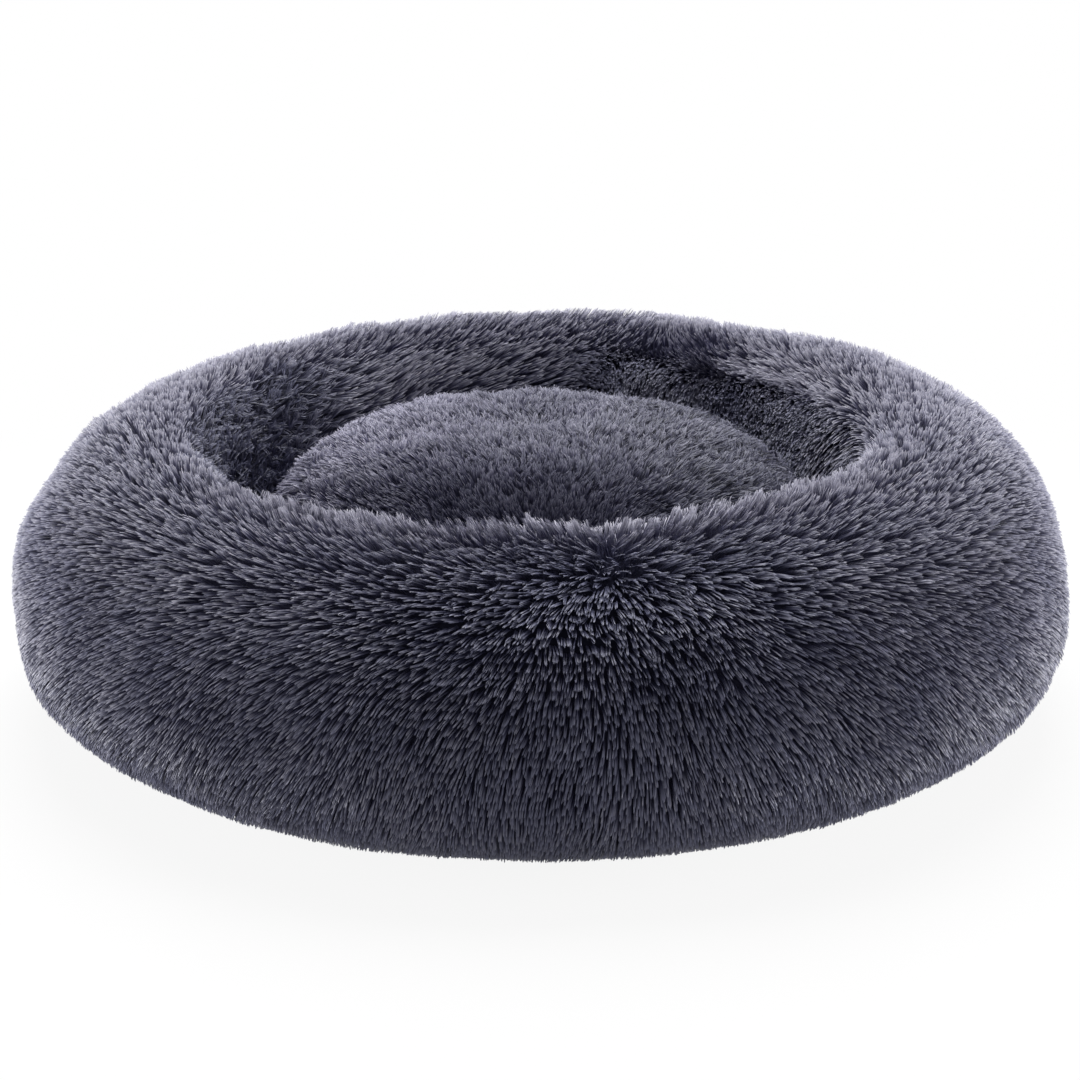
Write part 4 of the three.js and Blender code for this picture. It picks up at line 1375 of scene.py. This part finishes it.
def weave_material(name, colour, pitch, depth, radius=None, slope=1):
    """A plain weave: threads over and under each other, with uneven dye and a little fuzz."""
    material, tree, shader = new_material(name)
    place = add(tree, "TexCoord").outputs["Object"]
    flat = place if radius is None else round_coordinates(tree, place, radius, slope)
    wave = {"Scale": TURN / (WAVE_RATE * pitch), "Distortion": 0.6, "Detail": 1, "Vector": flat}
    across, along = (add(tree, "TexWave", wave, bands_direction=way).outputs["Fac"] for way in ("X", "Y"))
    cells = add(tree, "TexChecker", {"Scale": 1 / pitch, "Vector": flat}).outputs["Fac"]
    over = add(tree, "Mix", {0: cells, 2: across, 3: along}, data_type="FLOAT")
    fuzz = add(tree, "TexNoise", {"Scale": 0.6 / pitch, "Detail": 6, "Vector": place})
    height = add(tree, "Mix", {0: 0.4, 2: over.outputs[0], 3: fuzz.outputs[0]}, data_type="FLOAT")
    dark, light = shades(colour, 0.5, 1.4)
    tone = ramp(tree, height.outputs[0], (0.2, dark), (0.8, light))
    bump = add(tree, "Bump", {"Distance": depth, "Strength": 0.8, "Height": height.outputs[0]})
    fill(tree, shader, {"Base Color": tone, "Normal": bump.outputs[0], "Roughness": 0.85})
    fill(tree, shader, {"Specular IOR Level": 0.25, "Sheen Weight": 0.15})
    return material


def grained_material(name, dark, light, scale, depth, roughness, metallic=0, stretch=(1, 1, 1)):
    """A solid with a fine grain in its colour and relief: thread, nylon, rubber or brushed metal."""
    material, tree, shader = new_material(name)
    place = add(tree, "TexCoord").outputs["Object"]
    drawn = add(tree, "Mapping", {"Scale": stretch, "Vector": place})
    noise = add(tree, "TexNoise", {"Scale": scale, "Detail": 4, "Vector": drawn.outputs[0]})
    grain = noise.outputs[0]
    tone = ramp(tree, grain, (0.3, dark), (0.7, light))
    rough = add(tree, "MapRange", {"To Min": roughness - 0.1, "To Max": roughness + 0.12, "Value": grain})
    bump = add(tree, "Bump", {"Distance": depth, "Strength": 0.6, "Height": grain})
    fill(tree, shader, {"Base Color": tone, "Roughness": rough.outputs[0]})
    fill(tree, shader, {"Normal": bump.outputs[0], "Metallic": metallic})
    return material


# Camera, light and floor

VIEW_ELEVATION = math.radians(21.62)
VIEW_DISTANCE = 2.131
VIEW_RAISE = math.radians(2.81)
LENS = 95.93
SENSOR = 36
CLIP_START = 50 * MM
SHADOW_FADE = (0.42, 0.8)
FLOOR_HALF = 30
OVERHEAD = {"place": (0, 1.2, 2.2), "size": 2.2, "power": 104}
SIDE_LIGHT = {"size": 1.4, "size_y": 0.36, "power": 46}
SIDE_PLACE = (2.2, 0.2, 0.27)
WORLD_LIGHT = 0.22


def build_camera():
    data = bpy.data.cameras.new("camera")
    camera = bpy.data.objects.new("camera", data)
    bpy.context.scene.collection.objects.link(camera)
    back, up = math.cos(VIEW_ELEVATION), math.sin(VIEW_ELEVATION)
    camera.location = (0, -VIEW_DISTANCE * back, VIEW_DISTANCE * up)
    camera.rotation_euler = (math.pi / 2 - VIEW_ELEVATION + VIEW_RAISE, 0, 0)
    data.lens = LENS
    data.sensor_width = SENSOR
    data.clip_start = CLIP_START
    bpy.context.scene.camera = camera


def area_light(name, place, size, power, size_y=None):
    """A rectangle of light that faces the middle of the bed."""
    data = bpy.data.lights.new(name, "AREA")
    data.shape = "RECTANGLE"
    data.size = size
    data.size_y = size_y or size
    data.energy = power
    light = bpy.data.objects.new(name, data)
    light.location = place
    aim = Vector((0, 0, RING_HEIGHT / 2)) - Vector(place)
    light.rotation_euler = aim.to_track_quat("-Z", "Y").to_euler()
    bpy.context.scene.collection.objects.link(light)


def seen_directly(tree):
    """1 for rays that look at the background, straight or through gloss or glass."""
    path = add(tree, "LightPath").outputs
    gloss = add(tree, "Math", {0: path["Is Camera Ray"], 1: path["Is Glossy Ray"]}, operation="MAXIMUM")
    rays = {0: gloss.outputs[0], 1: path["Is Transmission Ray"]}
    return add(tree, "Math", rays, operation="MAXIMUM").outputs[0]


def build_light():
    area_light("overhead", **OVERHEAD)
    for name, side in (("left", -1), ("right", 1)):
        area_light(name, (side * SIDE_PLACE[0], *SIDE_PLACE[1:]), **SIDE_LIGHT)
    world = bpy.data.worlds.new("studio")
    bpy.context.scene.world = world
    world.use_nodes = True
    tree = world.node_tree
    level = add(tree, "MapRange", {"To Min": WORLD_LIGHT, "To Max": 1, "Value": seen_directly(tree)})
    fill(tree, tree.nodes["Background"], {"Color": (1, 1, 1, 1), "Strength": level.outputs[0]})


def build_floor():
    """A white floor that takes a soft shadow near the bed and fades to pure white away from it."""
    corners = [(x * FLOOR_HALF, y * FLOOR_HALF, 0) for x, y in ((-1, -1), (1, -1), (1, 1), (-1, 1))]
    mesh = bpy.data.meshes.new("floor")
    mesh.from_pydata(corners, [], [(0, 1, 2, 3)])
    floor = bpy.data.objects.new("floor", mesh)
    bpy.context.scene.collection.objects.link(floor)
    material, tree, shader = new_material("floor")
    camera_ray = add(tree, "LightPath").outputs["Is Camera Ray"]
    unseen, seen = (0.3, 0.3, 0.3, 1), (0.88, 0.88, 0.88, 1)
    tone = add(tree, "Mix", {0: camera_ray, 6: unseen, 7: seen}, data_type="RGBA")
    fill(tree, shader, {"Base Color": tone.outputs[2], "Roughness": 0.9})
    glow = add(tree, "Emission", {"Strength": 1})
    place = add(tree, "TexCoord").outputs["Object"]
    distance = add(tree, "VectorMath", {0: place}, operation="LENGTH").outputs["Value"]
    near, far = SHADOW_FADE
    span = {"Value": distance, "From Min": near, "From Max": far, "To Min": 0.9, "To Max": 1}
    clearing = add(tree, "MapRange", span, interpolation_type="SMOOTHSTEP")
    share = add(tree, "Math", {0: seen_directly(tree), 1: clearing.outputs[0]}, operation="MULTIPLY")
    mix = add(tree, "MixShader", {0: share.outputs[0], 1: shader.outputs[0], 2: glow.outputs[0]})
    fill(tree, tree.nodes["Material Output"], {"Surface": mix.outputs[0]})
    mesh.materials.append(material)


bpy.context.scene.view_settings.view_transform = "Standard"
build_camera()
build_light()
build_floor()

# The dark roots of both furs are painted shade deep in the pile.
ring_fur = fur_material(
    "ring fur",
    root=(0.034, 0.034, 0.074),
    middle=(0.062, 0.062, 0.124),
    tip=(0.366, 0.365, 0.466),
    cool=(0.55, 0.57, 0.68),
    warm=(1.4, 1.38, 1.3),
    shine=0.45,
)
cushion_fur = fur_material(
    "cushion fur",
    root=(0.018, 0.018, 0.044),
    middle=(0.045, 0.044, 0.09),
    tip=(0.199, 0.197, 0.262),
    cool=(0.45, 0.47, 0.57),
    warm=(2.2, 2.16, 2.07),
    shine=0.3,
)
# The plush backing is as dark as the shade between the hairs: partly its own colour, partly painted shade.
backing = cloth_material("plush backing", (0.028, 0.028, 0.05), 900)
lining = cloth_material("lining", (0.76, 0.75, 0.71), 1400)
fibre = cloth_material("fibre", (0.88, 0.88, 0.86), 260)
base_weave = weave_material("base weave", (0.021, 0.021, 0.026), 1.5 * MM, 0.3 * MM)
tape_weave = weave_material("zip tape weave", (0.024, 0.024, 0.033), 0.9 * MM, 0.2 * MM, 0.34, 1.4)
thread = grained_material("thread", (0.03, 0.03, 0.038), (0.075, 0.075, 0.09), 2600, 0.1 * MM, 0.7)
rubber = grained_material("grip rubber", (0.012, 0.012, 0.014), (0.022, 0.022, 0.026), 900, 0.05 * MM, 0.6)
nylon = grained_material("coil nylon", (0.022, 0.022, 0.03), (0.04, 0.04, 0.052), 1200, 0.04 * MM, 0.4)
metal = grained_material(
    "dark nickel", (0.19, 0.19, 0.21), (0.3, 0.3, 0.325), 700, 0.02 * MM, 0.34, metallic=1, stretch=(1, 1, 6)
)

for pad in (RING_PAD, CUSHION_PAD):
    build_insides(pad, backing, lining, fibre)
build_ring_fur(ring_fur)
build_cushion_fur(cushion_fur)
base_panel(RING_PAD, "base", "base_panel", base_weave, thread, rubber)
well_cloth(base_weave, thread)
base_panel(CUSHION_PAD, "cushion_base", "cushion_base", base_weave, thread, rubber)
for pad in (RING_PAD, CUSHION_PAD):
    hems(pad, backing, thread)
for pad in (RING_PAD, CUSHION_PAD):
    build_zip(pad, tape_weave, nylon, thread, metal)
